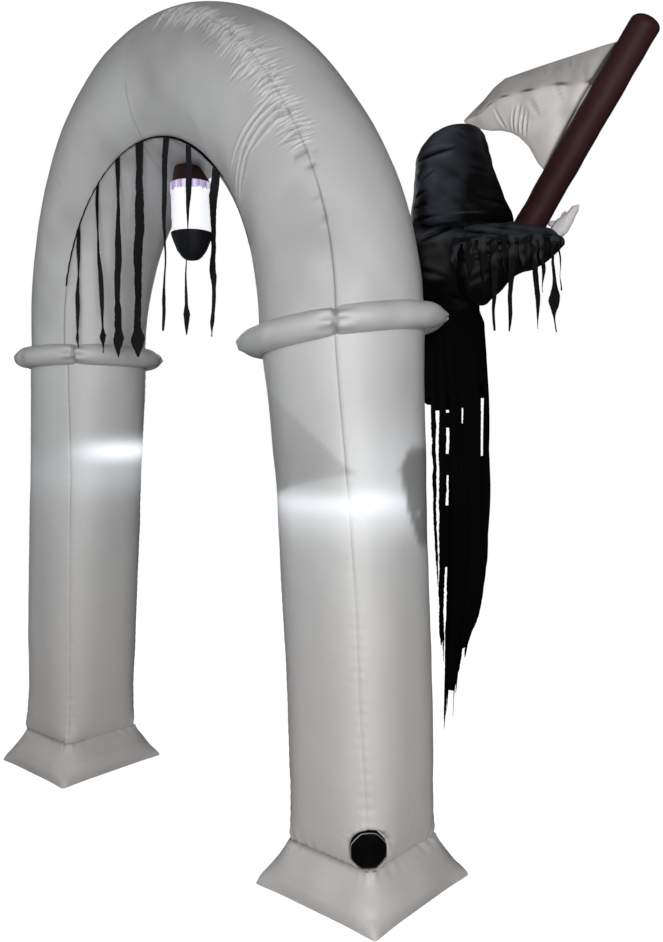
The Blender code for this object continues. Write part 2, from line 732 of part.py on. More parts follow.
def make_sleeve(torso):
    turn = turns(18)
    rings = [
        np.stack(
            [
                np.full(len(turn), section.x),
                section.y + section.half_depth * np.cos(turn),
                section.middle_z + section.half_height * np.sin(turn),
            ],
            axis=1,
        )
        for section in SLEEVE
    ]
    sleeve = air_tube("sleeve", rings, "black nylon")
    cut_clear_of(sleeve, torso)
    return sleeve


def torso_section(z):
    """Middle and half sizes of the torso at a height."""
    heights = [oval.height for oval in TORSO]
    return np.array([np.interp(z, heights, values) for values in zip(*(oval[1:] for oval in TORSO))])


def sleeve_front(x, z):
    """Y of the cloth that lies on the sleeve's front and hangs straight down below its fullest point."""
    places = [section.x for section in SLEEVE]
    middle_z = np.interp(x, places, [section.middle_z for section in SLEEVE])
    half_height = np.interp(x, places, [section.half_height for section in SLEEVE])
    y = np.interp(x, places, [section.y for section in SLEEVE])
    half_depth = np.interp(x, places, [section.half_depth for section in SLEEVE])
    above = np.clip((z - middle_z) / half_height, 0.0, 0.98)
    on_sleeve = y - half_depth * np.sqrt(1.0 - above**2)
    body_x, body_y, body_half_x, body_half_y = torso_section(z)
    beside = max((x - body_x) / body_half_x, 0.0)
    if beside >= 1.0:
        return on_sleeve - TRIM_STANDOFF
    on_body = body_y - body_half_y * math.sqrt(1.0 - beside**2) - 0.003
    return min(on_sleeve, on_body) - TRIM_STANDOFF


def trim_line(x):
    """Height of the band's upper edge on the sleeve, which drops with the sleeve towards the cuff."""
    places = [section.x for section in SLEEVE]
    middle_z = np.interp(x, places, [section.middle_z for section in SLEEVE])
    half_height = np.interp(x, places, [section.half_height for section in SLEEVE])
    return middle_z + TRIM_LINE * half_height


def make_trim():
    """Band along the sleeve with its torn tatters, each two columns of the grid and open between."""
    lowest = min(tatter.bottom_z for tatter in TATTERS)
    heights = [TRIM_TOP, TRIM_TOP - TRIM_BAND]
    heights.extend(np.arange(heights[-1] - TRIM_PITCH, lowest - 0.001, -TRIM_PITCH))
    heights = np.array(heights)
    rows = len(heights)
    points = np.zeros((rows, 2 * len(TATTERS), 3))
    keep = np.zeros((rows - 1, 2 * len(TATTERS) - 1), bool)
    keep[0, :] = True
    for number, tatter in enumerate(TATTERS):
        last = int(np.argmin(np.abs(heights - tatter.bottom_z)))
        keep[:last, 2 * number] = True
        for row, z in enumerate(heights):
            share = min(max((row - 1) / max(last - 1, 1), 0.0), 1.0)
            middle = (tatter.left_x + tatter.right_x) / 2.0
            middle += (tatter.tip_x - middle) * share + 0.002 * math.sin(row * 1.3 + number) * share
            half = (tatter.right_x - tatter.left_x) / 2.0 * (1.0 - 0.88 * share**2)
            half += tatter.leaf * math.exp(-(((share - LEAF_AT) / LEAF_LENGTH) ** 2))
            for side in (0, 1):
                x = middle + (2 * side - 1) * half
                level = tatter.bottom_z if row == last else z
                if row < 2:
                    level = min(TRIM_TOP, trim_line(x)) - row * TRIM_BAND
                y = sleeve_front(x, level) + 0.003 * side * share
                points[row, 2 * number + side] = (x, y, level)
    return cloth_sheet("sleeve_trim", points, keep, "torn black cloth")


def robe_section(z):
    """Middle and half sizes of the skirt: gathered onto the torso, then wider, then narrower to its tips."""
    top, first, low = ROBE_YOKE_ROWS[0], ROBE_YOKE_ROWS[1], ROBE_YOKE_ROWS[-1]
    worn = torso_section(top if z > first else first)
    if z > first:
        return worn - (0.0, 0.0, ROBE_GATHER, ROBE_GATHER)
    taper = np.interp(z, [taper.height for taper in ROBE_TAPER], [taper.share for taper in ROBE_TAPER])
    hung = np.array((ROBE_X, ROBE_Y, ROBE_HALF_X * taper, ROBE_HALF_Y * taper))
    worn += (0.0, 0.0, ROBE_CLEAR, ROBE_CLEAR)
    return worn + (hung - worn) * min((first - z) / (first - low), 1.0)


def make_robe(torso):
    """Skirt of torn cloth: one yoke round the torso, slit into rags that taper to their tips."""
    lowest = min(rag.bottom for rag in RAGS)
    heights = list(ROBE_YOKE_ROWS)
    heights.extend(np.arange(heights[-1] - ROBE_ROW, lowest - 0.001, -ROBE_ROW))
    heights = np.array(heights)
    rows = len(heights)
    columns = 2 * len(RAGS)
    points = np.zeros((rows, columns, 3))
    keep = np.zeros((rows - 1, columns), bool)
    for number, rag in enumerate(RAGS):
        last = int(np.argmin(np.abs(heights - rag.bottom)))
        keep[:last, 2 * number] = True
        keep[:, 2 * number + 1] = heights[:-1] > rag.slit_top + 0.001
        middle = (rag.from_turn + rag.to_turn) / 2.0
        half = (rag.to_turn - rag.from_turn) / 2.0
        for row, z in enumerate(heights):
            fall = min(max((rag.slit_top - z) / (rag.slit_top - rag.bottom), 0.0), 1.0)
            width = half * (1.0 - (1.0 - rag.narrow) * fall**2)
            width *= 0.25 if row == last else 1.0
            middle_x, middle_y, half_x, half_y = robe_section(z)
            for side in (0, 1):
                torn = 0.9 * math.sin(2.1 * row + 1.7 * number + 2.6 * side) * min(fall * 6.0, 1.0)
                turn = math.radians(middle + rag.sway * fall**2 + (2 * side - 1) * width + torn)
                pleat = 1.0 + (2 * side - 1) * ROBE_PLEAT / ROBE_HALF_Y * min(fall * 4.0, 1.0)
                level = rag.bottom if row == last else z
                points[row, 2 * number + side] = (
                    middle_x + half_x * pleat * math.cos(turn),
                    middle_y + half_y * pleat * math.sin(turn),
                    level,
                )
    for bridge in ROBE_BRIDGES:
        joined = (heights[:-1] <= bridge.top) & (heights[1:] >= bridge.bottom)
        keep[joined, 2 * bridge.after_rag + 1] = True
    robe = cloth_sheet("robe", points, keep, "torn black cloth", wrap=True)
    cut_clear_of(robe, torso)
    return robe


def make_pole(sleeve):
    """Padded pole: a straight tapered tube with a domed top, cut at the sleeve that holds it."""
    low = np.array([POLE_FROM[0], HELD_Y, POLE_FROM[1]])
    top = np.array([POLE_TO[0], HELD_Y, POLE_TO[1]])
    along = (top - low) / np.linalg.norm(top - low)
    beside = np.array([along[2], 0.0, -along[0]])
    length = np.linalg.norm(top - low)
    turn = turns(POLE_ROUND)
    circle = np.outer(np.cos(turn), beside) + np.outer(np.sin(turn), (0.0, 1.0, 0.0))
    stations = [(share * length, 1.0) for share in np.linspace(0.0, 1.0, 6)]
    dome = np.radians((30.0, 55.0, 75.0))
    stations.extend((length + POLE_DOME * math.sin(bend), math.cos(bend)) for bend in dome)
    rings = []
    for distance, size in stations:
        radius = np.interp(distance, (0.0, length), (POLE_RADIUS_LOW, POLE_RADIUS_TOP))
        rings.append(low + along * distance + circle * radius * size)
    pole = air_tube("scythe_pole", rings, "dark red nylon")
    cut_clear_of(pole, sleeve)
    return pole


def make_blade(pole):
    """Padded blade: lens sections from the pole to the tip, thin along both edges."""
    share = np.linspace(0.0, 1.0, BLADE_ACROSS + 1)
    rings = []
    for section in BLADE:
        top = np.array([section.top_x, HELD_Y, section.top_z])
        low = np.array([section.low_x, HELD_Y, section.low_z])
        line = top + np.outer(share, low - top)
        swell = BLADE_EDGE + (section.half_thickness - BLADE_EDGE) * np.sin(math.pi * share) ** 0.7
        front = line.copy()
        front[:, 1] -= swell
        back = line[::-1].copy()
        back[:, 1] += swell[::-1]
        rings.append(np.concatenate([front, back]))
    blade = air_tube("scythe_blade", rings, "blade nylon")
    cut_clear_of(blade, pole)
    return blade


def finger(name, sections, collection=None):
    """Padded finger or palm: ovals square to the line through their middles."""
    middles = np.array([(section.x, HELD_Y, section.z) for section in sections])
    ways = np.gradient(middles, axis=0)
    turn = turns(FINGER_ROUND)
    rings = []
    for section, middle, way in zip(sections, middles, ways):
        way = way / np.linalg.norm(way)
        beside = np.array([way[2], 0.0, -way[0]])
        ring = middle + np.outer(np.cos(turn), beside) * section.half_width
        ring[:, 1] += np.sin(turn) * section.half_depth
        rings.append(ring)
    piece = air_tube(name, rings, "glove nylon", collection)
    if collection is cutters:
        piece.hide_render = True
        piece.display_type = "WIRE"
    return piece


def make_hand(sleeve):
    hand = finger("hand", PALM)
    join(hand, finger("thumb_shape", THUMB, cutters), "UNION")
    join(hand, finger("curled_finger_shape", CURLED_FINGER, cutters), "UNION")
    cut_clear_of(hand, sleeve)
    return hand


legs, bow = make_arch()
make_inlet(legs["leg_right"])
make_collar("collar_left", -1.0, 0.0, 0.0, (legs["leg_left"], bow))
make_collar("collar_right", 1.0, RIGHT_COLLAR_TURN, RIGHT_COLLAR_TILT, (legs["leg_right"], bow))
make_binding_and_strips()
make_lantern(bow)
torso = air_tube("torso", oval_stack(TORSO), "black nylon")
cut_clear_of(torso, bow)
sleeve = make_sleeve(torso)
make_hood(sleeve)
make_trim()
make_robe(torso)
pole = make_pole(sleeve)
make_blade(pole)
make_hand(sleeve)
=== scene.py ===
# %% [markdown]
# # An inflated archway with a hooded scythe bearer
# The real object is a yard decoration: tubes of thin coated nylon that a small blower keeps full of air. This
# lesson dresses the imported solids. Most cells make one piece as a surface worked out with numpy, in the
# shape that the air gives it, then adds what the sewing does to it: seams, puckers, pinched corners and torn
# edges.

# %% Start
import math
from collections import namedtuple

import bpy
import numpy as np
from mathutils import Matrix, Vector


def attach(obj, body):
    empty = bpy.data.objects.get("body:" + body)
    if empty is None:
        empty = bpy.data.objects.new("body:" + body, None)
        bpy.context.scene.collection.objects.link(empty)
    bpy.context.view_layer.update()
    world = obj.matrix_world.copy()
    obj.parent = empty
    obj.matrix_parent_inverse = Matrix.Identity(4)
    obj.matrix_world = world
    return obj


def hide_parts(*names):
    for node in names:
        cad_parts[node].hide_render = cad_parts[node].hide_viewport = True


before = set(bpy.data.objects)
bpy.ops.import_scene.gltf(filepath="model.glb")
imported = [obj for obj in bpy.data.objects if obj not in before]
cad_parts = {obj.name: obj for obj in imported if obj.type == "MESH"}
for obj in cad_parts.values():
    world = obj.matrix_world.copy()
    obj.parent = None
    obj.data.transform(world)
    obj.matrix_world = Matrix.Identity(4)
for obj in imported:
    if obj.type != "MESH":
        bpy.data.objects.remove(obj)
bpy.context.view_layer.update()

# %% [markdown]
# ## Where the arch stands
# The whole object is centred on its footprint, and the arch's own middle lies a little to one side of that,
# because the figure reaches out behind one leg. Pieces are worked out about the arch's middle, where both
# legs are even, and are moved over when their mesh is made. The camera could be set by eye, but one that was
# solved from the plinths' corners gives the same view as the photograph.

# %% The arch's middle and the camera
ARCH_MIDDLE = np.array([-0.2322, -0.1018, 0.0])
PICTURE_HEIGHT = 942
FOCAL_PIXELS = 857.227
SENSOR_HEIGHT = 36.0
CAMERA_PLACE = np.array([2.32417, -1.92844, 1.31640])
CAMERA_YAW = math.radians(41.2667)
CAMERA_PITCH = math.radians(-2.40368)
CAMERA_ROLL = math.radians(-0.39204)


def camera_ways():
    """Right, up and forward of the camera: a level look turned by yaw, tipped by pitch and then rolled."""
    across = np.array([math.cos(CAMERA_YAW), math.sin(CAMERA_YAW), 0.0])
    level = np.array([-math.sin(CAMERA_YAW), math.cos(CAMERA_YAW), 0.0])
    forward = level * math.cos(CAMERA_PITCH) + np.array([0.0, 0.0, math.sin(CAMERA_PITCH)])
    upward = np.cross(across, forward)
    right = math.cos(CAMERA_ROLL) * across + math.sin(CAMERA_ROLL) * upward
    up = math.cos(CAMERA_ROLL) * upward - math.sin(CAMERA_ROLL) * across
    return right, up, forward


camera = bpy.data.objects.new("camera", bpy.data.cameras.new("camera"))
bpy.context.scene.collection.objects.link(camera)
bpy.context.scene.camera = camera
right, up, forward = camera_ways()
turned = Matrix([list(row) for row in np.stack([right, up, -forward], axis=1)])
camera.matrix_world = Matrix.Translation(Vector(CAMERA_PLACE + ARCH_MIDDLE)) @ turned.to_4x4()
camera.data.sensor_fit = "VERTICAL"
camera.data.sensor_height = SENSOR_HEIGHT
camera.data.lens = FOCAL_PIXELS * SENSOR_HEIGHT / PICTURE_HEIGHT
camera.data.clip_end = 60.0
print("camera at", tuple(camera.location), "lens", round(camera.data.lens, 2))

# %% [markdown]
# ## Floor and surround
# The photograph is a studio cut-out, white all round. A white floor could be lit until it burns out, but it
# would then light the arch from below and wash out its folds. So floor and surround shine for the camera
# alone: a Light Path node tells camera rays from all others, which meet a grey floor and a nearly dark sky.

# %% Floor and surround
WHITE = (1.0, 1.0, 1.0, 1.0)
FLOOR_RADIUS = 6.0
FLOOR_GREY = 0.30
FLOOR_GLOW = 0.99
SKY_LIGHT = 0.02


def ring_turns(count):
    """Evenly spaced turns once round, in radians, the last one a step short of the first."""
    return np.arange(count) * 2.0 * math.pi / count


floor_turn = ring_turns(96)
floor_rim = FLOOR_RADIUS * np.stack([np.cos(floor_turn), np.sin(floor_turn), 0.0 * floor_turn], axis=1)
floor_mesh = bpy.data.meshes.new("floor")
floor_mesh.from_pydata(floor_rim, [], [tuple(range(len(floor_turn)))])
floor = bpy.data.objects.new("floor", floor_mesh)
pale_floor = bpy.data.materials.new("pale floor")
pale_floor.use_nodes = True
floor_tree = pale_floor.node_tree
floor_shader = floor_tree.nodes["Principled BSDF"]
floor_shader.inputs["Base Color"].default_value = (FLOOR_GREY, FLOOR_GREY, FLOOR_GREY, 1.0)
floor_shader.inputs["Roughness"].default_value = 0.9
floor_shader.inputs["Emission Color"].default_value = WHITE
floor_rays = floor_tree.nodes.new("ShaderNodeLightPath")
floor_glow = floor_tree.nodes.new("ShaderNodeMath")
floor_glow.operation = "MULTIPLY"
floor_glow.inputs[1].default_value = FLOOR_GLOW
floor_tree.links.new(floor_rays.outputs["Is Camera Ray"], floor_glow.inputs[0])
floor_tree.links.new(floor_glow.outputs["Value"], floor_shader.inputs["Emission Strength"])
floor_mesh.materials.append(pale_floor)
bpy.context.scene.collection.objects.link(floor)

surround = bpy.data.worlds.new("surround")
surround.use_nodes = True
sky = surround.node_tree.nodes["Background"]
sky_rays = surround.node_tree.nodes.new("ShaderNodeLightPath")
sky_level = surround.node_tree.nodes.new("ShaderNodeMapRange")
sky_level.inputs["To Min"].default_value = SKY_LIGHT
sky_level.inputs["To Max"].default_value = 1.0
surround.node_tree.links.new(sky_rays.outputs["Is Camera Ray"], sky_level.inputs["Value"])
surround.node_tree.links.new(sky_level.outputs["Result"], sky.inputs["Strength"])
sky.inputs["Color"].default_value = WHITE
bpy.context.scene.world = surround
bpy.context.scene.view_settings.view_transform = "Standard"
print("floor", FLOOR_RADIUS, "m, sky light", SKY_LIGHT)

# %% [markdown]
# ## Lamps
# The strong lamp stands near the camera and draws the light stripe down each leg. Four weak ones, to the
# right and left, above and behind, keep the far edges of the tubes from going black. All five are wide
# discs, because a wide lamp shades a rounded tube softly.

# %% Lamps
Lamp = namedtuple("Lamp", "name place aim size watts colour")
LAMPS = (
    Lamp("front lamp", (3.38, -3.05, 1.62), (-0.23, -0.10, 1.0), 1.4, 129.0, (1.0, 0.99, 0.98)),
    Lamp("right lamp", (3.20, -1.60, 3.60), (-0.23, -0.10, 1.3), 2.2, 6.0, (1.0, 0.99, 0.98)),
    Lamp("left lamp", (-2.60, -3.00, 2.20), (-0.23, -0.10, 1.0), 2.2, 24.0, (0.98, 0.99, 1.0)),
    Lamp("high lamp", (-0.12, -0.20, 5.50), (-0.23, -0.10, 1.3), 2.5, 6.0, (1.0, 1.0, 1.0)),
    Lamp("back lamp", (-3.40, 2.60, 2.60), (-0.23, -0.10, 1.3), 2.4, 40.0, (0.98, 0.99, 1.0)),
)
for lamp in LAMPS:
    light = bpy.data.lights.new(lamp.name, "AREA")
    light.shape = "DISK"
    light.size = lamp.size
    light.energy = lamp.watts
    light.color = lamp.colour
    holder = bpy.data.objects.new(lamp.name, light)
    holder.location = lamp.place
    holder.rotation_euler = (Vector(lamp.aim) - Vector(lamp.place)).to_track_quat("-Z", "Y").to_euler()
    bpy.context.scene.collection.objects.link(holder)
print(len(LAMPS), "lamps")

# %% [markdown]
# ## From a grid of points to a piece
# Every new piece is a grid: rows run along the piece, columns run across or round it. The faces between
# neighbouring points are worked out as whole arrays. A tube's ends are closed by a fan. The UV map is in
# metres of cloth, so a weave keeps its real size on every piece.

# %% Grid to mesh
def cloth_lengths(points, wrap):
    """Metres of cloth along and across a grid: running sums of the mean steps between rows and columns."""
    down = np.linalg.norm(np.diff(points, axis=0), axis=2).mean(axis=1)
    closed = np.concatenate([points, points[:, :1]], axis=1) if wrap else points
    over = np.linalg.norm(np.diff(closed, axis=1), axis=2).mean(axis=0)
    return np.concatenate([[0.0], np.cumsum(down)]), np.concatenate([[0.0], np.cumsum(over)])


def grid_mesh(name, points, wrap=True, caps=True, loop=False, marks=None, keep=None):
    """Mesh of a grid: quads between rows and columns; wrap closes it round, loop along, caps at its ends.

    Point (row, column) has the number row times columns plus column. The signed volume about the middle is
    a sum of triple products, and it is negative where the faces point inwards.
    """
    points = np.asarray(points, dtype=float)
    rows, columns = points.shape[:2]
    along, across = cloth_lengths(points, wrap)
    index = np.arange(rows * columns).reshape(rows, columns)
    row = np.arange(rows if loop else rows - 1)
    column = np.arange(columns if wrap else columns - 1)
    row, column = [part.ravel() for part in np.meshgrid(row, column, indexing="ij")]
    if keep is not None:
        kept = keep[row, column]
        row, column = row[kept], column[kept]
    corner_rows = np.stack([row, row, row + 1, row + 1], axis=1)
    corner_columns = np.stack([column, column + 1, column + 1, column], axis=1)
    faces = index[corner_rows % rows, corner_columns % columns]
    along = np.append(along, along[-1] + along[1])
    uv = np.stack([across[corner_columns], along[corner_rows]], axis=2).reshape(-1, 2)
    flat = points.reshape(-1, 3)
    centre = flat.mean(axis=0)
    a, b, c, d = [flat[faces[:, corner]] - centre for corner in range(4)]
    volume = (a * np.cross(b, c)).sum() + (a * np.cross(c, d)).sum()
    faces_list = faces.tolist()
    if caps and wrap and not loop:
        middles = np.stack([points[0].mean(axis=0), points[-1].mean(axis=0)])
        flat = np.concatenate([flat, middles])
        near = np.arange(columns)
        low = np.stack([near, np.full(columns, rows * columns), (near + 1) % columns], axis=1)
        near = near + (rows - 1) * columns
        high = np.stack([near, np.roll(near, -1), np.full(columns, rows * columns + 1)], axis=1)
        faces_list += low.tolist() + high.tolist()
        uv = np.concatenate([uv, np.zeros((6 * columns, 2))])
    mesh = bpy.data.meshes.new(name)
    mesh.from_pydata(flat + ARCH_MIDDLE, [], faces_list)
    mesh.uv_layers.new(name="cloth").data.foreach_set("uv", uv.ravel())
    for mark, values in (marks or {}).items():
        full = np.zeros(len(flat))
        full[: rows * columns] = np.broadcast_to(values, (rows, columns)).ravel()
        mesh.attributes.new(mark, "FLOAT", "POINT").data.foreach_set("value", full)
    if wrap and volume < 0.0:
        mesh.flip_normals()
    mesh.shade_smooth()
    return mesh


# %% [markdown]
# ## From a mesh to a piece of the arch
# Each piece rides on the arch's one body, gets its finish, and stands for an imported solid. All of this
# could be typed for each piece, but a function can't forget a line.

# %% Placing a piece
def place(name, mesh, finish, stands_for):
    """A mesh in the scene as a piece: its finish, its body and the solid that it stands for."""
    piece = bpy.data.objects.new(name, mesh)
    bpy.context.scene.collection.objects.link(piece)
    mesh.materials.append(finish)
    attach(piece, "root")
    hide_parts(stands_for)
    print(name, len(mesh.polygons), "faces")
    return piece


def puffed(name, points, finish, slot, stands_for, fill, **grid):
    """A padded piece from its grid; its fill, the share of its full roundness that the air gives it, is not
    used.
    """
    piece = place(name, grid_mesh(name, points, **grid), finish, stands_for)


def thicken(piece, thickness):
    """A sheet's thickness, half of it to each side."""
    wall = piece.modifiers.new("cloth thickness", "SOLIDIFY")
    wall.thickness = thickness
    wall.offset = 0.0
    return piece


# %% [markdown]
# ## What air and sewing do to cloth
# Three small tools do most of the work. One reads a short table smoothly. One pushes a grid in or out along
# its own outward way. One draws creases: a soft trough with a low lip on each side, deepest at its middle
# and gone at its ends. Uneven swells come from a few seeded waves. Sculpting by hand would do as well, but a
# formula on whole arrays can be read, repeated and mended.

# %% Tables, swells and creases
def rows_between(table, rows):
    """Share along a table and each of its columns at evenly spaced places, straight between its rows."""
    at = np.linspace(0.0, len(table) - 1.0, rows)
    return at / at[-1], [np.interp(at, np.arange(len(table)), column) for column in zip(*table)]


def read_smooth(table, column, at, blur=0.0):
    """A column of a table at any place along its first column: straight between rows, then blurred."""
    places = np.array([row[0] for row in table], dtype=float)
    values = np.array([getattr(row, column) for row in table], dtype=float)
    if places[0] > places[-1]:
        places, values = places[::-1], values[::-1]
    if blur <= 0.0:
        return np.interp(at, places, values)
    span = places[-1] - places[0]
    fine = np.linspace(places[0] - span / 2, places[-1] + span / 2, 1201)
    straight = np.interp(fine, places, values)
    low = values[0] + (values[1] - values[0]) * (fine - places[0]) / (places[1] - places[0])
    high = values[-1] + (values[-1] - values[-2]) * (fine - places[-1]) / (places[-1] - places[-2])
    straight = np.where(fine < places[0], low, np.where(fine > places[-1], high, straight))
    step = fine[1] - fine[0]
    reach = max(int(3.0 * blur / step), 1)
    weights = np.exp(-0.5 * (np.arange(-reach, reach + 1) * step / blur) ** 2)
    padded = np.pad(straight, reach, mode="edge")
    return np.interp(at, fine, np.convolve(padded, weights / weights.sum(), mode="valid"))


def outward(points, wrap=True):
    """Unit normal at each point of a grid, from the steps to the neighbours along and across."""
    along = np.gradient(points, axis=0)
    if wrap:
        across = (np.roll(points, -1, axis=1) - np.roll(points, 1, axis=1)) / 2.0
    else:
        across = np.gradient(points, axis=1)
    normal = np.cross(across, along)
    normal /= np.linalg.norm(normal, axis=2, keepdims=True) + 1e-12
    if wrap:
        spoke = points - points.mean(axis=1, keepdims=True)
        if (normal * spoke).sum() < 0.0:
            normal = -normal
    return normal


def pushed(points, height, wrap=True):
    """Each point moved along its own normal by its height."""
    return points + outward(points, wrap) * np.asarray(height)[..., None]


def swell(points, scale, seed, waves=14):
    """Smooth uneven field from -1 to 1: a sum of sine waves, their ways and phases drawn from a seed."""
    chance = np.random.default_rng(seed)
    field = np.zeros(points.shape[:2])
    for _ in range(waves):
        way = chance.normal(size=3)
        way *= chance.uniform(0.6, 1.6) * 2.0 * math.pi / scale / np.linalg.norm(way)
        field += np.sin(points @ way + chance.uniform(0.0, 2.0 * math.pi))
    return field / math.sqrt(waves) / 1.4


def soft_step(value, width):
    """From 0 to 1 across zero: one over one plus e to the minus value over width."""
    return 1.0 / (1.0 + np.exp(-np.clip(value / width, -40.0, 40.0)))


def bell(value, middle, width):
    """Bell curve: e to the minus square of the distance from the middle over the width."""
    return np.exp(-(((value - middle) / width) ** 2))


def turn_gap(degrees, middle):
    """Gap from a middle turn in degrees, from -180 to 180."""
    return (degrees - middle + 180.0) % 360.0 - 180.0


Crease = namedtuple("Crease", "across0 along0 across1 along1 depth width")


def creased(across, along, creases, lip=0.4):
    """Height of the cloth over creases, each a straight line on it: a trough less a lip on both sides."""
    height = np.zeros(np.broadcast(across, along).shape)
    for crease in creases:
        over = crease.across1 - crease.across0
        down = crease.along1 - crease.along0
        length = math.hypot(over, down)
        ahead = ((across - crease.across0) * over + (along - crease.along0) * down) / length**2
        beside = ((along - crease.along0) * over - (across - crease.across0) * down) / length
        fade = np.clip(1.0 - (2.0 * ahead - 1.0) ** 2, 0.0, 1.0) ** 1.2
        width = crease.width * (0.55 + 0.45 * fade)
        trough = bell(beside, 0.0, width)
        lips = bell(np.abs(beside), 1.9 * width, width)
        height += crease.depth * fade * (lip * lips - trough)
    return height


# %% [markdown]
# ## Nylon
# The tubes are thin coated nylon, woven so fine that from a step away it shows as a soft sheen with faint
# clouds. The finish mixes two close greys by a slow noise and adds three layers of bump: shallow crinkles,
# short gathers and the weave itself. A mark kept on the mesh darkens it along seams, and the same mark paints
# shade into deep creases and onto sides turned from the light. A second mark paints the glow of a lamp
# inside as emission.

# %% Nylon finish
def link(tree, out, into):
    """A wire between two sockets."""
    tree.links.new(out, into)


def mixed(tree, factor, first, second):
    """Colour between two others by a factor."""
    mix = tree.nodes.new("ShaderNodeMix")
    mix.data_type = "RGBA"
    link(tree, factor, mix.inputs["Factor"])
    for value, socket in ((first, mix.inputs["A"]), (second, mix.inputs["B"])):
        if isinstance(value, tuple):
            socket.default_value = (*value, 1.0)
        else:
            link(tree, value, socket)
    return mix.outputs["Result"]


def clouds(tree, vector, scale, detail, low, high):
    """Noise at a size, its middle spread between two levels to 0 and 1."""
    noise = tree.nodes.new("ShaderNodeTexNoise")
    noise.inputs["Scale"].default_value = scale
    noise.inputs["Detail"].default_value = detail
    link(tree, vector, noise.inputs["Vector"])
    spread = tree.nodes.new("ShaderNodeMapRange")
    spread.inputs["From Min"].default_value = low
    spread.inputs["From Max"].default_value = high
    link(tree, noise.outputs["Fac"], spread.inputs["Value"])
    return spread.outputs["Result"]


def bumped(tree, height, distance, strength, before=None):
    """Normal tipped by a height field, on top of the bump before it."""
    bump = tree.nodes.new("ShaderNodeBump")
    bump.inputs["Distance"].default_value = distance
    bump.inputs["Strength"].default_value = strength
    link(tree, height, bump.inputs["Height"])
    if before is not None:
        link(tree, before, bump.inputs["Normal"])
    return bump.outputs["Normal"]


def weave(tree, uv, pitch):
    """Height of a plain weave: waves across times waves along the cloth's UV map."""
    height = None
    for way in ("X", "Y"):
        wave = tree.nodes.new("ShaderNodeTexWave")
        wave.wave_type = "BANDS"
        wave.bands_direction = way
        wave.inputs["Scale"].default_value = 0.314 / pitch
        link(tree, uv, wave.inputs["Vector"])
        if height is None:
            height = wave.outputs["Fac"]
        else:
            join = tree.nodes.new("ShaderNodeMath")
            join.operation = "ADD"
            link(tree, height, join.inputs[0])
            link(tree, wave.outputs["Fac"], join.inputs[1])
            height = join.outputs["Value"]
    return height


def mark_value(tree, name):
    """A mark kept on the mesh's points, read back as a number."""
    mark = tree.nodes.new("ShaderNodeAttribute")
    mark.attribute_name = name
    return mark.outputs["Fac"]


def nylon(name, light, dark, seam, roughness, crinkle=0.35, shine=0.5, warm_low=None):
    """Coated nylon: two close colours clouded, darker at seams and in painted shade, crinkled and finely woven.
    """
    made = bpy.data.materials.new(name)
    made.use_nodes = True
    tree = made.node_tree
    shader = tree.nodes["Principled BSDF"]
    where = tree.nodes.new("ShaderNodeTexCoord")
    place_in = where.outputs["Object"]
    base = mixed(tree, clouds(tree, place_in, 2.2, 3.0, 0.38, 0.62), dark, light)
    if warm_low is not None:
        parts = tree.nodes.new("ShaderNodeSeparateXYZ")
        link(tree, place_in, parts.inputs["Vector"])
        rise = tree.nodes.new("ShaderNodeMapRange")
        rise.inputs["From Min"].default_value = 0.2
        rise.inputs["From Max"].default_value = 1.2
        rise.inputs["To Min"].default_value = 0.75
        rise.inputs["To Max"].default_value = 0.0
        link(tree, parts.outputs["Z"], rise.inputs["Value"])
        base = mixed(tree, rise.outputs["Result"], base, warm_low)
    # The fold mark darkens towards the seam colour: seam lines, and painted shade in creases and on turned-away
    # sides.
    base = mixed(tree, mark_value(tree, "fold"), base, seam)
    link(tree, base, shader.inputs["Base Color"])
    normal = bumped(tree, clouds(tree, place_in, 16.0, 3.0, 0.2, 0.8), 0.004, crinkle)
    normal = bumped(tree, clouds(tree, place_in, 60.0, 2.0, 0.2, 0.8), 0.0008, crinkle, normal)
    normal = bumped(tree, weave(tree, where.outputs["UV"], 0.0016), 0.0002, 0.5, normal)
    link(tree, normal, shader.inputs["Normal"])
    # The glow mark paints light: the glow of a lamp inside, as emission.
    link(tree, mark_value(tree, "glow"), shader.inputs["Emission Strength"])
    shader.inputs["Emission Color"].default_value = (0.88, 0.93, 1.0, 1.0)
    shader.inputs["Roughness"].default_value = roughness
    shader.inputs["Specular IOR Level"].default_value = shine
    return made


PALE = (0.65, 0.66, 0.665)
PALE_SHADE = (0.60, 0.605, 0.61)
PALE_SEAM_AND_SHADE = (0.13, 0.13, 0.135)
PALE_LOW = (0.66, 0.635, 0.62)
pale_nylon = nylon("pale nylon", PALE, PALE_SHADE, PALE_SEAM_AND_SHADE, 0.50, 0.30, shine=1.0, warm_low=PALE_LOW)
BLACK = (0.074, 0.081, 0.102)
BLACK_SHADE = (0.056, 0.062, 0.078)
BLACK_FOLD_AND_SHADE = (0.0010, 0.0010, 0.0013)
black_nylon = nylon("black nylon", BLACK, BLACK_SHADE, BLACK_FOLD_AND_SHADE, 0.46, 0.28, shine=0.12)
print("nylon finishes ready")

# %% [markdown]
# ## The bow
# The bow is four panels sewn along four seams. Air makes its section nearly round, a circle through the four
# seams, and the inner panel is flatter under the crown. The front outer seam was gathered while it was sewn,
# so a band of puckers crosses it from the crown down to the right. It could be inflated by a cloth
# simulation, but two half ellipses and a circle put each seam exactly where it shows. Columns crowd towards
# the seams, so that each seam is a crisp line in the mesh itself and not a blur in a texture.

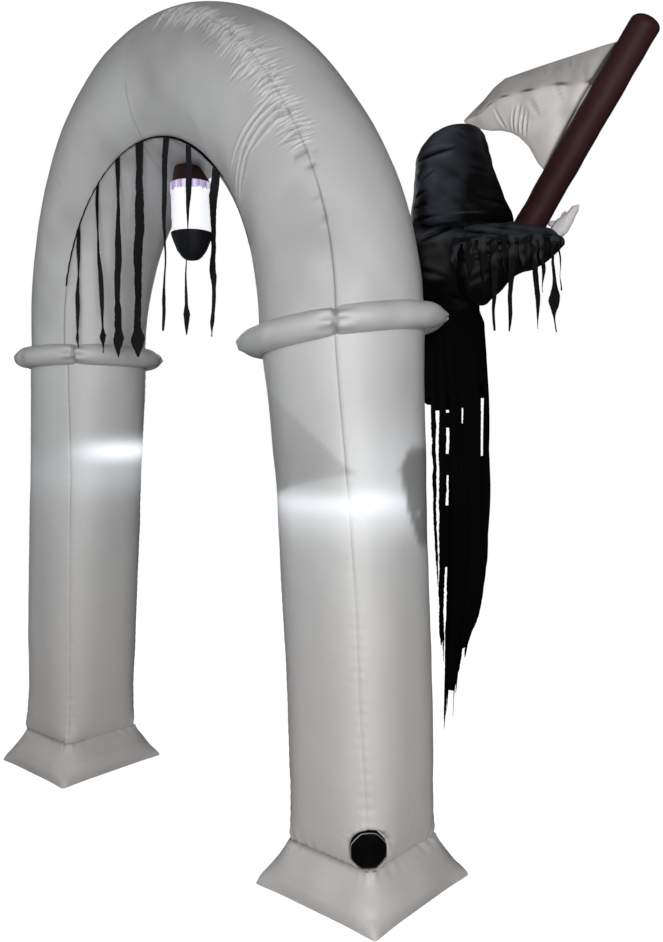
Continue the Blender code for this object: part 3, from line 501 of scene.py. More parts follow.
# %% The bow's seams and section
SPRING_Z = 1.621
INNER_SPAN, INNER_RISE = 0.5297, 0.6627
OUTER_SPAN, OUTER_RISE = 0.8057, 1.0398
SOFFIT_FLAT = 0.145
BowStray = namedtuple("BowStray", "turn inner_shift outer_shift seam_y")
BOW_STRAY = (
    BowStray(0.0, 0.0014, 0.016, 0.1950),
    BowStray(14.0, 0.000, 0.015, 0.1935),
    BowStray(26.0, 0.000, 0.000, 0.192),
    BowStray(39.0, 0.000, -0.016, 0.192),
    BowStray(57.0, 0.000, -0.009, 0.192),
    BowStray(75.0, 0.000, 0.000, 0.192),
    BowStray(90.0, 0.000, 0.003, 0.192),
    BowStray(105.0, 0.000, 0.012, 0.192),
    BowStray(120.0, 0.000, 0.025, 0.192),
    BowStray(135.0, 0.000, 0.036, 0.191),
    BowStray(150.0, 0.002, 0.045, 0.189),
    BowStray(165.0, 0.006, 0.050, 0.186),
    BowStray(180.0, 0.012, 0.051, 0.181),
)
BOW_BLUR = 4.0


def bow_seams(along):
    """Inner and outer seam seen from the front, on two half ellipses, and their distance from the middle."""
    degrees = np.degrees(along)
    inner = np.stack([INNER_SPAN * np.cos(along), SPRING_Z + INNER_RISE * np.sin(along)], axis=-1)
    outer = np.stack([OUTER_SPAN * np.cos(along), SPRING_Z + OUTER_RISE * np.sin(along)], axis=-1)
    inner[..., 0] += read_smooth(BOW_STRAY, "inner_shift", degrees, BOW_BLUR)
    outer[..., 0] += read_smooth(BOW_STRAY, "outer_shift", degrees, BOW_BLUR)
    return inner, outer, read_smooth(BOW_STRAY, "seam_y", degrees, BOW_BLUR)


def panel_turns(seam_turns, count, crowd=0.72):
    """Turns round a tube, panel by panel: even shares less a sine of themselves crowd towards each seam."""
    share = np.arange(count) / count
    share = share - crowd * np.sin(2.0 * math.pi * share) / (2.0 * math.pi)
    starts = np.stack(seam_turns, axis=-1)
    ends = np.concatenate([starts[..., 1:], starts[..., :1] + 2.0 * math.pi], axis=-1)
    turns = starts[..., None] + (ends - starts)[..., None] * share
    return turns.reshape(*turns.shape[:-2], -1)


def seam_distance(turn, seam_turns, radius):
    """Distance from the nearest seam: the least gap in turn, either way round, times the radius."""
    gaps = np.stack([np.abs(turn - at[:, None]) for at in seam_turns])
    return np.minimum(gaps, 2.0 * math.pi - gaps).min(axis=0) * radius


PANEL_COLUMNS = 36
PLAIN_END, FINE_END = 28.0, 104.0
plain_rows = np.linspace(0.0, PLAIN_END, 44)[:-1]
fine_rows = np.linspace(PLAIN_END, FINE_END, 540)[:-1]
bow_along = np.radians(np.concatenate([plain_rows, fine_rows, np.linspace(FINE_END, 180.0, 76)]))
inner_seam, outer_seam, seam_y = bow_seams(bow_along)
bow_half = np.linalg.norm(outer_seam - inner_seam, axis=1) / 2.0
bow_out = (outer_seam - inner_seam) / (2.0 * bow_half[:, None])
bow_middle = (outer_seam + inner_seam) / 2.0
corner = np.arctan2(seam_y, bow_half)
bow_seam_turns = [-math.pi + corner, -corner, corner, math.pi - corner]
bow_turn = panel_turns(bow_seam_turns, PANEL_COLUMNS)
tube_radius = np.hypot(bow_half, seam_y)[:, None]
under = np.clip(np.cos(2.0 * (bow_turn - math.pi)), 0.0, 1.0) * (np.cos(bow_turn) < 0.0)
bow_reach = tube_radius * (1.0 - SOFFIT_FLAT * np.sin(bow_along)[:, None] ** 2 * under)
print("bow", bow_turn.shape, "widest tube radius", round(float(tube_radius.max()), 3))

# %% [markdown]
# Each pucker is a short crease square to the gathered seam. Their places, lengths and depths come from a
# seeded draw, because no two are alike, and a short table adds the few long folds that the air leaves. A
# crease in the mesh catches the light from every side, which a painted one doesn't.

# %% Puckers of the bow
Gather = namedtuple("Gather", "first last count seed reach depth width slant")
GATHERS = (
    Gather(0.44, 1.32, 92, 7, 0.074, 0.0105, 0.0030, -0.14),
    Gather(0.62, 1.30, 36, 11, 0.115, 0.0085, 0.0038, -0.16),
    Gather(0.20, 0.46, 12, 13, 0.022, 0.0030, 0.0030, 0.0),
)


def gathered_seam(gather):
    """Creases across a seam at 0 across: uneven steps along it, uneven lengths to both sides."""
    chance = np.random.default_rng(gather.seed)
    steps = chance.uniform(0.5, 1.5, gather.count)
    places = gather.first + (gather.last - gather.first) * np.cumsum(steps) / steps.sum()
    made = []
    for at in places:
        left = chance.uniform(0.45, 1.0) * gather.reach
        right_side = chance.uniform(0.25, 0.8) * gather.reach
        lean = gather.slant + chance.normal(0.0, 0.12)
        size = chance.uniform(0.35, 1.0)
        depth = gather.depth * size
        width = gather.width * (0.7 + 0.5 * size)
        made.append(Crease(-left, at - lean * left, right_side, at + lean * right_side, depth, width))
    return made


bow_across = tube_radius * (bow_turn + corner[:, None])
METRES_PER_DEGREE = 0.0162
bow_length = np.degrees(bow_along)[:, None] * METRES_PER_DEGREE
LONG_FOLDS = (
    Crease(-0.310, 0.500, -0.150, 0.574, 0.0060, 0.0060),
    Crease(-0.190, 0.566, 0.030, 0.572, 0.0085, 0.0062),
    Crease(-0.310, 0.545, -0.130, 0.606, 0.0070, 0.0062),
    Crease(-0.180, 0.598, 0.035, 0.592, 0.0085, 0.0060),
    Crease(-0.280, 0.622, -0.020, 0.622, 0.0055, 0.0060),
    Crease(-0.105, 0.799, 0.090, 0.763, 0.0120, 0.0062),
    Crease(-0.085, 0.836, 0.040, 0.806, 0.0060, 0.0050),
    Crease(-0.068, 0.441, 0.040, 0.421, 0.0085, 0.0048),
    Crease(-0.040, 0.395, 0.030, 0.386, 0.0045, 0.0040),
    Crease(-0.035, 0.305, 0.020, 0.298, 0.0030, 0.0035),
    Crease(-0.030, 0.240, 0.015, 0.236, 0.0030, 0.0035),
    Crease(-0.240, 2.150, -0.165, 2.165, 0.0035, 0.0060),
)
puckers = [crease for gather in GATHERS for crease in gathered_seam(gather)]
bow_height = creased(bow_across, bow_length, puckers + list(LONG_FOLDS))
seam_gap = seam_distance(bow_turn, bow_seam_turns, tube_radius)
bow_height -= 0.0020 * bell(seam_gap, 0.0, 0.0045)
print(len(puckers), "puckers,", len(LONG_FOLDS), "long folds")

# %% [markdown]
# The surface goes round the tube's middle line at the reach of each turn, and is then pushed out or in by
# the height of its creases and a slow swell. Four short seams lie across the panels where two lengths of
# cloth meet. They are lines in the colour alone, because they are too fine to stand out from the cloth.

# %% Bow
CrossSeam = namedtuple("CrossSeam", "along slant first last shows")
SOFFIT_SEAMS = (
    CrossSeam(1.487, 0.98, 0.0, 0.20, 1.0),
    CrossSeam(1.955, 0.0, 0.13, 0.36, 0.55),
    CrossSeam(2.302, 0.0, 0.0, 0.22, 0.55),
)
bow_points = np.stack(
    [
        bow_middle[:, :1] + bow_reach * np.cos(bow_turn) * bow_out[:, :1],
        bow_reach * np.sin(bow_turn),
        bow_middle[:, 1:] + bow_reach * np.cos(bow_turn) * bow_out[:, 1:],
    ],
    axis=2,
)
bow_height += 0.0022 * swell(bow_points, 0.45, 3) + 0.0008 * swell(bow_points, 0.14, 5)
bow_points = pushed(bow_points, bow_height)
cross_seam = bell(bow_length, 1.462 - 0.10 * (bow_across + 0.33), 0.0022) * (bow_across < -0.235)
soffit_across = tube_radius * (math.pi + corner[:, None] - bow_turn)
for seam in SOFFIT_SEAMS:
    on_soffit = (soffit_across > seam.first) & (soffit_across < seam.last)
    line = bell(bow_length, seam.along + seam.slant * soffit_across, 0.0030) * on_soffit
    cross_seam = np.maximum(cross_seam, line * seam.shows)
bow_height -= 0.0020 * cross_seam
in_gathers = soft_step(bow_length - 0.46, 0.03) * soft_step(1.26 - bow_length, 0.03)
seam_hidden = 0.75 * bell(bow_across, 0.0, 0.05) * in_gathers
# Seam lines darken the colour, and painted shade darkens the creases and puckers, the deeper the darker.
bow_seam_and_shade = 0.55 * bell(seam_gap, 0.0, 0.0018) * (1.0 - seam_hidden)
bow_seam_and_shade = bow_seam_and_shade + np.clip(-bow_height / 0.009, 0.0, 0.55) + 0.45 * cross_seam
bow_marks = {"fold": np.clip(bow_seam_and_shade, 0.0, 1.0)}
puffed("arch_bow_skin", bow_points, pale_nylon, "pale_nylon", "arch_bow", 0.95, marks=bow_marks)

# %% [markdown]
# ## The legs
# Each leg is square at its foot, where a square plinth holds it, and round at its top, where the collar goes
# round it. Two outlines could be joined by a loft, but a superellipse whose power falls from 14 to 2 runs
# from one to the other in one formula. The legs lean towards each other and stray a little from the even
# arch, as blown-up tubes do.

# %% Leg sections
SPRING_X = 0.6677
LEG_FOOT = 0.1303
FOOT_X = 0.7445
LegSection = namedtuple("LegSection", "height half_width squareness")
LEG_SECTIONS = (
    LegSection(LEG_FOOT, 0.1585, 14.0),
    LegSection(0.150, 0.1690, 7.0),
    LegSection(0.190, 0.1780, 4.2),
    LegSection(0.300, 0.1835, 3.2),
    LegSection(0.550, 0.1890, 2.9),
    LegSection(0.850, 0.1965, 2.65),
    LegSection(1.150, 0.2030, 2.45),
    LegSection(1.400, 0.2170, 2.25),
    LegSection(1.530, 0.2290, 2.10),
    LegSection(1.621, 0.2365, 2.0),
)
Stray = namedtuple("Stray", "height left_shift left_size right_shift right_size left_seam right_seam")
LEG_STRAY = (
    Stray(0.130, -0.010, 1.000, 0.006, 0.990, 45.0, 45.0),
    Stray(0.300, -0.006, 0.990, 0.012, 1.009, 45.0, 47.0),
    Stray(0.550, -0.001, 1.008, 0.018, 1.013, 46.0, 50.3),
    Stray(0.850, 0.008, 1.003, 0.020, 1.012, 47.5, 50.3),
    Stray(1.150, 0.017, 0.995, 0.020, 1.015, 48.0, 52.3),
    Stray(1.400, 0.0255, 0.963, 0.014, 1.014, 51.0, 54.0),
    Stray(1.530, 0.0295, 0.937, 0.010, 1.020, 53.0, 54.5),
    Stray(SPRING_Z, 0.0315, 0.9147, 0.0087, 1.0285, 54.0, 54.3),
)


def leg_middle(height, side):
    """X of a leg's middle line: straight from foot to spring, plus its stray."""
    even = FOOT_X + (SPRING_X - FOOT_X) * height / SPRING_Z
    return side * even + read_smooth(LEG_STRAY, "left_shift" if side < 0 else "right_shift", height, 0.05)


def square_reach(turn, half_width, squareness):
    """Reach of a superellipse: half width over the sum of cosine and sine powers, to one over the power."""
    across = np.abs(np.cos(turn)) ** squareness
    along = np.abs(np.sin(turn)) ** squareness
    return half_width / (across + along) ** (1.0 / squareness)


def make_leg(side):
    """Rounded squares stacked along the leg: the grid, its turns, its heights, its distance from a seam."""
    word = "left" if side < 0 else "right"
    height = np.concatenate([np.linspace(LEG_FOOT, 0.34, 60)[:-1], np.linspace(0.34, SPRING_Z, 190)])
    seam_turn = np.radians(read_smooth(LEG_STRAY, word + "_seam", height, 0.05))
    seam_turns = [-math.pi + seam_turn, -seam_turn, seam_turn, math.pi - seam_turn]
    turn = panel_turns(seam_turns, PANEL_COLUMNS)
    half_width = read_smooth(LEG_SECTIONS, "half_width", height, 0.012)
    half_width = (half_width * read_smooth(LEG_STRAY, word + "_size", height, 0.05))[:, None]
    squareness = read_smooth(LEG_SECTIONS, "squareness", height, 0.012)[:, None]
    reach = square_reach(turn, half_width, squareness)
    x = leg_middle(height, side)[:, None] + reach * np.cos(turn)
    z = np.broadcast_to(height[:, None], turn.shape)
    gap = seam_distance(turn, seam_turns, half_width)
    return np.stack([x, reach * np.sin(turn), z], axis=2), turn, height[:, None], gap


print("legs lean in by", round(FOOT_X - SPRING_X, 4), "m")

# %% [markdown]
# A small lamp inside each leg shows through the nylon as a bright band with a soft halo. Inner baffles and
# the figure behind shade parts of it: a dark wedge on the front panel and a leaf-shaped shadow on the side.
# A real lamp inside would need a see-through wall. A mark on the grid, a few bell curves in turn and height,
# gives the same band and stays on the cloth in any view.

# %% Light inside the legs
def inner_light(side, turn, height):
    """Glow and shade of a leg at turns in degrees and heights: bands, halos, and the edges of two shadows."""
    turn = turn_gap(turn, 0.0)
    if side < 0:
        lit = soft_step(turn + 42.0, 7.0) * soft_step(60.0 - turn, 8.0)
        bright = 0.36 + 0.50 * soft_step(turn + 22.0, 9.0)
        halo = 0.20 * bell(height, 1.18, 0.090) * (0.35 + 0.65 * lit)
        glow = bright * bell(height, 1.262, 0.040) * lit + halo
        return glow * soft_step(turn + 130.0, 12.0) * soft_step(75.0 - turn, 10.0), 0.0 * glow
    front = soft_step(turn + 128.0, 6.0) * soft_step(12.0 - turn, 6.0)
    right_panel = soft_step(turn + 50.0, 5.0)
    glow = 0.32 * bell(height, 1.130, 0.032) * (1.0 - 0.30 * right_panel)
    glow = glow + 0.14 * bell(height, 1.152, 0.030) * right_panel * bell(turn, -32.0, 16.0)
    glow = glow + 0.22 * bell(height, 1.095, 0.065) + 0.15 * right_panel * bell(height, 1.22, 0.13)
    wedge_top = np.interp(turn, (-130.0, -90.0, -69.6, -55.6, -45.8), (1.47, 1.363, 1.296, 1.240, 1.212))
    wedge_low = np.interp(turn, (-123.0, -104.0, -72.0, -61.0, -45.8), (1.153, 1.174, 1.198, 1.204, 1.212))
    wedge = soft_step(wedge_top - height, 0.003) * soft_step(height - wedge_low, 0.0035) * (turn < -45.5)
    wedge = wedge * soft_step(turn + 140.0, 9.0) * (0.55 + 0.45 * soft_step(1.34 - height, 0.03))
    leaf_heights = (0.99, 1.052, 1.106, 1.167, 1.221, 1.285)
    leaf_edge = np.interp(height, leaf_heights, (22.0, 12.7, 4.3, 0.0, -4.4, 8.0))
    leaf = soft_step(turn - leaf_edge + 5.5, 0.9) * soft_step(52.0 - turn, 6.0)
    leaf = leaf * soft_step(height - 0.997, 0.006) * soft_step(1.280 - height, 0.006)
    leaf = leaf * (1.0 - 0.7 * bell(turn, 12.8, 2.5) * bell(height, 1.092, 0.010))
    glow = glow * front * (1.0 - 0.85 * wedge) * (1.0 - 0.9 * leaf)
    return glow, 0.30 * wedge + 0.68 * leaf


# %% [markdown]
# The cloth gathers a little where the leg is sewn to its plinth, and each long seam pulls small ticks into
# the cloth beside it. On the right leg the blower's port presses a round hollow into the front corner.

# %% Leg skins
INLET_Z = 0.187
INLET_TURN = math.radians(-45.0)
INLET_RADIUS = 0.0520
INLET_FLAT = 0.181
INLET_FACING = np.array([math.cos(INLET_TURN), math.sin(INLET_TURN), 0.0])
INLET_BESIDE = np.array([-INLET_FACING[1], INLET_FACING[0], 0.0])


def pressed_port(points):
    """The front corner held back to a flat round the port, rays of folds above it, and a painted shade ring at
    the flat's edge.
    """
    from_middle = points - np.array([leg_middle(INLET_Z, 1.0), 0.0, INLET_Z])
    depth = from_middle @ INLET_FACING
    aside = np.linalg.norm(from_middle - depth[..., None] * INLET_FACING, axis=2)
    front = depth > 0.0
    hollow = np.where(front, np.clip((INLET_RADIUS + 0.007 - aside) / 0.008, 0.0, 1.0), 0.0)
    hollow = hollow * hollow * (3.0 - 2.0 * hollow)
    spoke = np.arctan2(from_middle[..., 2], from_middle @ INLET_BESIDE)
    rays = np.sin(spoke * 23.0 + 3.0 * np.sin(spoke * 4.0)) * bell(aside, INLET_RADIUS + 0.014, 0.009)
    above = np.where(front, soft_step(np.sin(spoke) - 0.2, 0.15), 0.0)
    out = 0.0016 * rays * above - np.clip(depth - INLET_FLAT, 0.0, 1.0) * hollow
    edge = np.where(front, bell(aside, INLET_RADIUS + 0.006, 0.004), 0.0)
    return points + out[..., None] * INLET_FACING, edge


def on_front(turn):
    """1 over the front panel and round to the left, 0 on the others: a soft step at -50 degrees."""
    return soft_step(-50.0 - turn_gap(np.degrees(turn), 0.0), 6.0)


for name, side, seed in (("leg_left", -1.0, 21), ("leg_right", 1.0, 22)):
    points, turn, height, gap = make_leg(side)
    lift = 0.0018 * swell(points, 0.50, seed) + 0.0006 * swell(points, 0.12, 23)
    lift = lift - 0.0020 * bell(gap, 0.0, 0.0045)
    ticks = np.sin(height * 2.0 * math.pi / 0.031 + 1.5 * np.sin(height * 9.0))
    lift = lift + 0.0007 * ticks * bell(gap, 0.0, 0.020) * np.clip(gap / 0.004, 0.0, 1.0)
    gathers = np.sin(turn * 38.0 + 2.0 * np.sin(turn * 5.0))
    lift = lift + 0.0020 * bell(height, LEG_FOOT, 0.035) * gathers
    fold = (0.14 + 0.56 * soft_step(height - 1.0, 0.06)) * bell(gap, 0.0, 0.0017)
    fold = fold + 0.45 * (0.25 + 0.75 * on_front(turn)) * bell(height, LEG_FOOT, 0.007)
    points = pushed(points, lift)
    points[0, :, 2] = LEG_FOOT
    points[-1, :, 2] = SPRING_Z
    if side > 0:
        points, port_edge_shade = pressed_port(points)
        # Painted shade: a dark ring where the cloth sinks to the port's flat.
        fold = fold + 0.5 * port_edge_shade
    glow, shade = inner_light(side, np.degrees(turn), height)
    fold = fold * (1.0 - np.clip(1.6 * glow, 0.0, 0.9)) + shade
    leg_marks = {"fold": np.clip(fold, 0.0, 1.0), "glow": glow}
    puffed(name + "_skin", points, pale_nylon, "pale_nylon", name, 0.95, marks=leg_marks)

# %% [markdown]
# ## The plinths
# A plinth is a flat puffed cushion with four pointed corners, wide on the ground and narrow at the leg. Its
# faces belly out between the corners, its rim on the ground is a straight sewn edge. It could be a box with
# bevels, but a stack of rounded squares lets the corners draw in and the faces swell with the same formula.

# %% Plinths
BaseSection = namedtuple("BaseSection", "height half_width squareness")
BASE_SECTIONS = (
    BaseSection(0.000, 0.2211, 60.0),
    BaseSection(0.010, 0.2235, 28.0),
    BaseSection(0.035, 0.2240, 12.0),
    BaseSection(0.070, 0.2110, 9.0),
    BaseSection(0.100, 0.1880, 9.0),
    BaseSection(0.120, 0.1690, 12.0),
    BaseSection(0.130, 0.1600, 16.0),
)
BASE_TOP = 0.130
BASE_ROWS = 64
QUARTER = math.pi / 2.0
for name, side, seed in (("base_left", -1.0, 31), ("base_right", 1.0, 32)):
    height = BASE_TOP * (1.0 - np.cos(np.linspace(0.0, math.pi, BASE_ROWS))) / 2.0
    turn = panel_turns([np.full(BASE_ROWS, (at - 1.5) * QUARTER) for at in range(4)], 44)
    half_width = read_smooth(BASE_SECTIONS, "half_width", height, 0.005)[:, None]
    squareness = read_smooth(BASE_SECTIONS, "squareness", height, 0.005)[:, None]
    height = height[:, None]
    share = height / BASE_TOP
    from_corner = np.abs((turn + QUARTER / 2.0) % QUARTER)
    from_corner = np.minimum(from_corner, QUARTER - from_corner)
    drawn_in = np.interp(share, (0.0, 0.12, 0.3, 0.55, 0.8, 1.0), (0.022, 0.0, -0.040, -0.062, -0.040, 0.0))
    reach = square_reach(turn, half_width, squareness) * (1.0 + drawn_in * bell(from_corner, 0.0, 0.17))
    x = side * FOOT_X + reach * np.cos(turn)
    points = np.stack([x, reach * np.sin(turn), np.broadcast_to(height, turn.shape)], axis=2)
    flank = np.abs(np.cos(2.0 * turn)) ** 2
    lift = np.sin(math.pi * share) * (0.0040 * swell(points, 0.18, seed) + 0.0065 * flank - 0.0030)
    gathers = np.sin(turn * 44.0 + 2.5 * np.sin(turn * 7.0))
    lift = lift + 0.0016 * gathers * bell(height, BASE_TOP, 0.016)
    lift = lift + 0.0010 * gathers * bell(height, 0.0, 0.018) * np.clip(height / 0.006, 0.0, 1.0)
    points = pushed(points, lift)
    points[..., 2] = np.clip(points[..., 2], 0.0, BASE_TOP)
    points[0, :, 2] = 0.0
    points[-1, :, 2] = BASE_TOP
    fold = 0.03 * bell(from_corner, 0.0, 0.010)
    fold = fold + 0.50 * (0.20 + 0.80 * on_front(turn)) * bell(height, BASE_TOP, 0.006)
    plinth_marks = {"fold": np.clip(fold, 0.0, 1.0)}
    puffed(name + "_skin", points, pale_nylon, "pale_nylon", name, 0.8, marks=plinth_marks)

# %% [markdown]
# ## The collars
# A collar is a ring of four short tubes whose ends are sewn together in mitres. Each mitre pinches the tube
# and throws small folds to both sides. One closed grid that is swept round the leg keeps the ring whole,
# where four tubes joined by Booleans would leave hard cuts.

# %% Collars
CollarForm = namedtuple("CollarForm", "name side corner_turn tilt size seed")
COLLARS = (
    CollarForm("collar_left", -1.0, 0.0, 0.0, LEG_STRAY[-1].left_size, 41),
    CollarForm("collar_right", 1.0, -8.0, 0.120, LEG_STRAY[-1].right_size, 42),
)
COLLAR_WALL = 0.0485
COLLAR_CORNER = 0.0190
COLLAR_HALF_HEIGHT = 0.0395
TILT_TURN = math.radians(41.3)
for form in COLLARS:
    turn = ring_turns(320)
    local = turn - math.radians(form.corner_turn)
    in_quarter = local % QUARTER
    from_mitre = np.degrees(np.abs(in_quarter - QUARTER / 2.0))
    tube = LEG_SECTIONS[-1].half_width * form.size
    seat = tube - 0.003
    reach = tube + COLLAR_WALL + COLLAR_CORNER * np.abs(np.sin(2.0 * local)) ** 3
    pinch = bell(from_mitre, 0.0, 8.5)
    crisp = bell(from_mitre, 0.0, 1.3)
    at_side = 1.0 - bell(turn_gap(np.degrees(turn), -53.0), 0.0, 40.0)
    pinched = (0.10 + 0.38 * at_side) * pinch + (0.08 + 0.32 * at_side) * crisp
    half_height = COLLAR_HALF_HEIGHT * (1.0 - pinched)
    middle_z = SPRING_Z + form.tilt * reach * np.cos(turn - TILT_TURN)
    bend = np.linspace(-math.pi / 2.0, math.pi / 2.0, 34)[None, :]
    radius = seat + (reach[:, None] - seat) * np.clip(np.cos(bend), 0.0, 1.0) ** 0.75
    x = leg_middle(SPRING_Z, form.side) + radius * np.cos(turn)[:, None]
    z = middle_z[:, None] + half_height[:, None] * np.sin(bend)
    points = np.stack([x, radius * np.sin(turn)[:, None], z], axis=2)
    sign = np.where(in_quarter > QUARTER / 2.0, 1.0, -1.0)
    fans = np.sin(bend * 7.0 + 1.1 * sign[:, None] + 2.0 * np.sin(local)[:, None])
    lift = 0.0036 * fans * bell(from_mitre, 4.0, 4.5)[:, None]
    lift = lift - ((0.0085 - 0.0040 * at_side) * crisp)[:, None] + 0.0018 * swell(points, 0.11, form.seed)
    lift = lift * np.cos(bend) ** 0.5
    # Mitre seams, and painted shade in the hollows of the folds, the deeper the darker.
    fold = 0.22 * crisp[:, None] + np.clip(-lift / 0.014, 0.0, 0.28)
    points = pushed(points, lift)
    grid = {"caps": False, "loop": True, "marks": {"fold": fold}}
    puffed(form.name + "_skin", points, pale_nylon, "pale_nylon", form.name, 0.85, **grid)

# %% [markdown]
# ## Torn cloth
# The strips, the trim and the robe are thin cloth that was cut ragged. Each is one layer on a fine grid. Its
# edges are pulled in and out by a seeded, jagged line, and a Solidify modifier gives the cloth its thickness.
# Torn edges could be cut with an alpha picture, but edges in the mesh are kept by every export.

# %% Torn cloth finish and edges
CLOTH = 0.0016


def torn_cloth_finish(name, colour, fray, roughness):
    """Matt cloth: dark weave with paler worn patches, no shine."""
    made = nylon(name, fray, colour, (0.002, 0.002, 0.002), roughness, 0.5)
    made.node_tree.nodes["Principled BSDF"].inputs["Specular IOR Level"].default_value = 0.03
    return made


torn_cloth = torn_cloth_finish("torn black cloth", (0.0015, 0.0015, 0.0018), (0.0030, 0.0030, 0.0035), 0.9)
trim_cloth = torn_cloth_finish("torn trim cloth", (0.050, 0.053, 0.060), (0.070, 0.074, 0.082), 0.80)
strip_cloth = torn_cloth_finish("torn strip cloth", (0.007, 0.008, 0.009), (0.020, 0.021, 0.023), 0.85)


def jagged(count, seed, step=3, soft=0.35):
    """Uneven line from -1 to 1: random points every few rows, straight between them, with fine fray added."""
    chance = np.random.default_rng(seed)
    knots = chance.uniform(-1.0, 1.0, count // step + 2)
    line = np.interp(np.arange(count), np.arange(len(knots)) * step, knots)
    return (1.0 - soft) * line + soft * chance.uniform(-1.0, 1.0, count)


# %% [markdown]
# ## Binding and strips
# A narrow black binding runs along the front inner seam, and seven strips are sewn into it. They hang
# straight down, twist a little, and end in torn points. A cloth simulation would move them by chance, so
# each row of a table gives one strip instead: its top, its tip, and its width on the way down.

# %% Binding
bind_along = np.radians(np.linspace(22.0, 158.0, 260))
inner, outer, front = bow_seams(bind_along)
towards = (inner - outer) / 2.0
way = np.stack([towards[:, 0], -front, towards[:, 1]], axis=1)
way /= np.linalg.norm(way, axis=1, keepdims=True)
seam_line = np.stack([inner[:, 0], -front, inner[:, 1]], axis=1)
depths = np.linspace(0.0004, CLOTH + 0.007, 4)[None, :, None] * (1.0 + 0.12 * jagged(260, 51)[:, None, None])
depths = depths * (0.18 + 0.82 * soft_step(bind_along - math.radians(50.0), 0.03))[:, None, None]
binding = seam_line[:, None, :] + way[:, None, :] * depths
binding[..., 1] += 0.0008 * np.sin(bind_along * 90.0)[:, None]
bind_edge = binding[:, -1]
mesh = grid_mesh("binding", binding, wrap=False)
binding_piece = thicken(place("binding", mesh, torn_cloth, "strip_binding"), CLOTH)

# %% Strips
STRIP_Y = -0.2005
STRIP_ROWS = 110
TIP_WIDTH = 0.002
Strip = namedtuple("Strip", "top_x tip_x tip_z top thin thin_at low low_at leaf leaf_at sway")
STRIPS = (
    Strip(-0.385, -0.398, 1.636, 0.016, 0.025, 0.55, 0.008, 0.78, 0.022, 0.92, 0.004),
    Strip(-0.263, -0.245, 1.607, 0.017, 0.019, 0.60, 0.013, 0.82, 0.044, 0.90, -0.005),
    Strip(-0.143, -0.151, 1.584, 0.024, 0.029, 0.72, 0.046, 0.76, 0.070, 0.91, 0.005),
    Strip(-0.020, -0.042, 1.580, 0.040, 0.042, 0.70, 0.044, 0.84, 0.074, 0.92, 0.004),
    Strip(0.121, 0.091, 1.655, 0.030, 0.016, 0.22, 0.014, 0.74, 0.009, 0.90, -0.006),
    Strip(0.228, 0.211, 1.632, 0.024, 0.008, 0.42, 0.007, 0.78, 0.024, 0.89, 0.004),
    Strip(0.352, 0.329, 1.617, 0.029, 0.027, 0.62, 0.010, 0.70, 0.019, 0.91, -0.004),
)
edge_x, edge_y, edge_z = bind_edge[np.argsort(bind_edge[:, 0])].T
share = np.linspace(0.0, 1.0, STRIP_ROWS)
below_top = np.clip(share * 8.0, 0.0, 1.0)
across = np.linspace(-1.0, 1.0, 7)
for number, strip in enumerate(STRIPS, 1):
    stations = (0.0, 0.10, strip.thin_at, strip.low_at, strip.leaf_at - 0.05, strip.leaf_at, 1.0)
    widths = (strip.top, strip.top, strip.thin, strip.low, strip.low, strip.leaf, TIP_WIDTH)
    half = np.interp(share, stations, widths) / 2.0
    middle = strip.top_x + (strip.tip_x - strip.top_x) * share + strip.sway * np.sin(2.0 * math.pi * share)
    middle = middle + 0.0016 * jagged(STRIP_ROWS, 70 + number, 9, 0.1) * below_top
    fray = np.stack([jagged(STRIP_ROWS, 60 + number, 5), jagged(STRIP_ROWS, 80 + number, 5)], axis=1)
    half_sides = half[:, None] * (1.0 + 0.20 * fray * below_top[:, None])
    x = middle[:, None] + np.where(across < 0.0, half_sides[:, :1], half_sides[:, 1:]) * across
    top_z = np.interp(x[:1], edge_x, edge_z) - 0.0012
    top_y = np.interp(x[:1], edge_x, edge_y)
    z = top_z + (strip.tip_z - top_z) * share[:, None]
    curl = 0.0035 * np.sin(3.0 * math.pi * share + number)[:, None] * across
    belly = 0.0025 * np.cos(across * math.pi / 2.0) * np.sin(7.0 * share + number)[:, None]
    hung_y = STRIP_Y + curl + belly + 0.0015 * np.sin(17.0 * share + 2.0 * number)[:, None]
    y = top_y + (hung_y - top_y) * np.clip(share * 6.0, 0.0, 1.0)[:, None]
    name = f"torn_strip_{number}"
    mesh = grid_mesh(name, np.stack([x, y, z], axis=2), wrap=False)
    piece = thicken(place(name, mesh, strip_cloth, f"strip_{number}"), CLOTH)

# %% [markdown]
# ## The blower's port
# Air comes in through a port on the front corner, just above the plinth. A thin pale roll is sewn round it,
# and a dark eight-sided guard with rings of slots covers the fan. Both are rings about one axis, so one
# function makes them: it lays out circles, and draws them towards an octagon by a share.

# %% Port
PORT_COLUMNS = 160
EIGHTH = math.pi / 4.0
PORT_FACETS = 0.6
PORT_MIDDLE = np.array([leg_middle(INLET_Z, 1.0), 0.0, INLET_Z]) - 0.004 * INLET_BESIDE
port_turn = ring_turns(PORT_COLUMNS)


def port_rings(radius, depth):
    """Rings about the port's axis: an octagon's reach is its radius over the cosine from a flat's middle."""
    off = (port_turn + EIGHTH / 2.0) % EIGHTH - EIGHTH / 2.0
    octagon = 1.0 + PORT_FACETS * (math.cos(EIGHTH / 2.0) / np.cos(off) - 1.0)
    upward = np.array([0.0, 0.0, 1.0])
    round_line = np.cos(port_turn)[:, None] * INLET_BESIDE + np.sin(port_turn)[:, None] * upward
    reach = radius[:, None] * octagon
    return PORT_MIDDLE + reach[..., None] * round_line + depth[:, None, None] * INLET_FACING


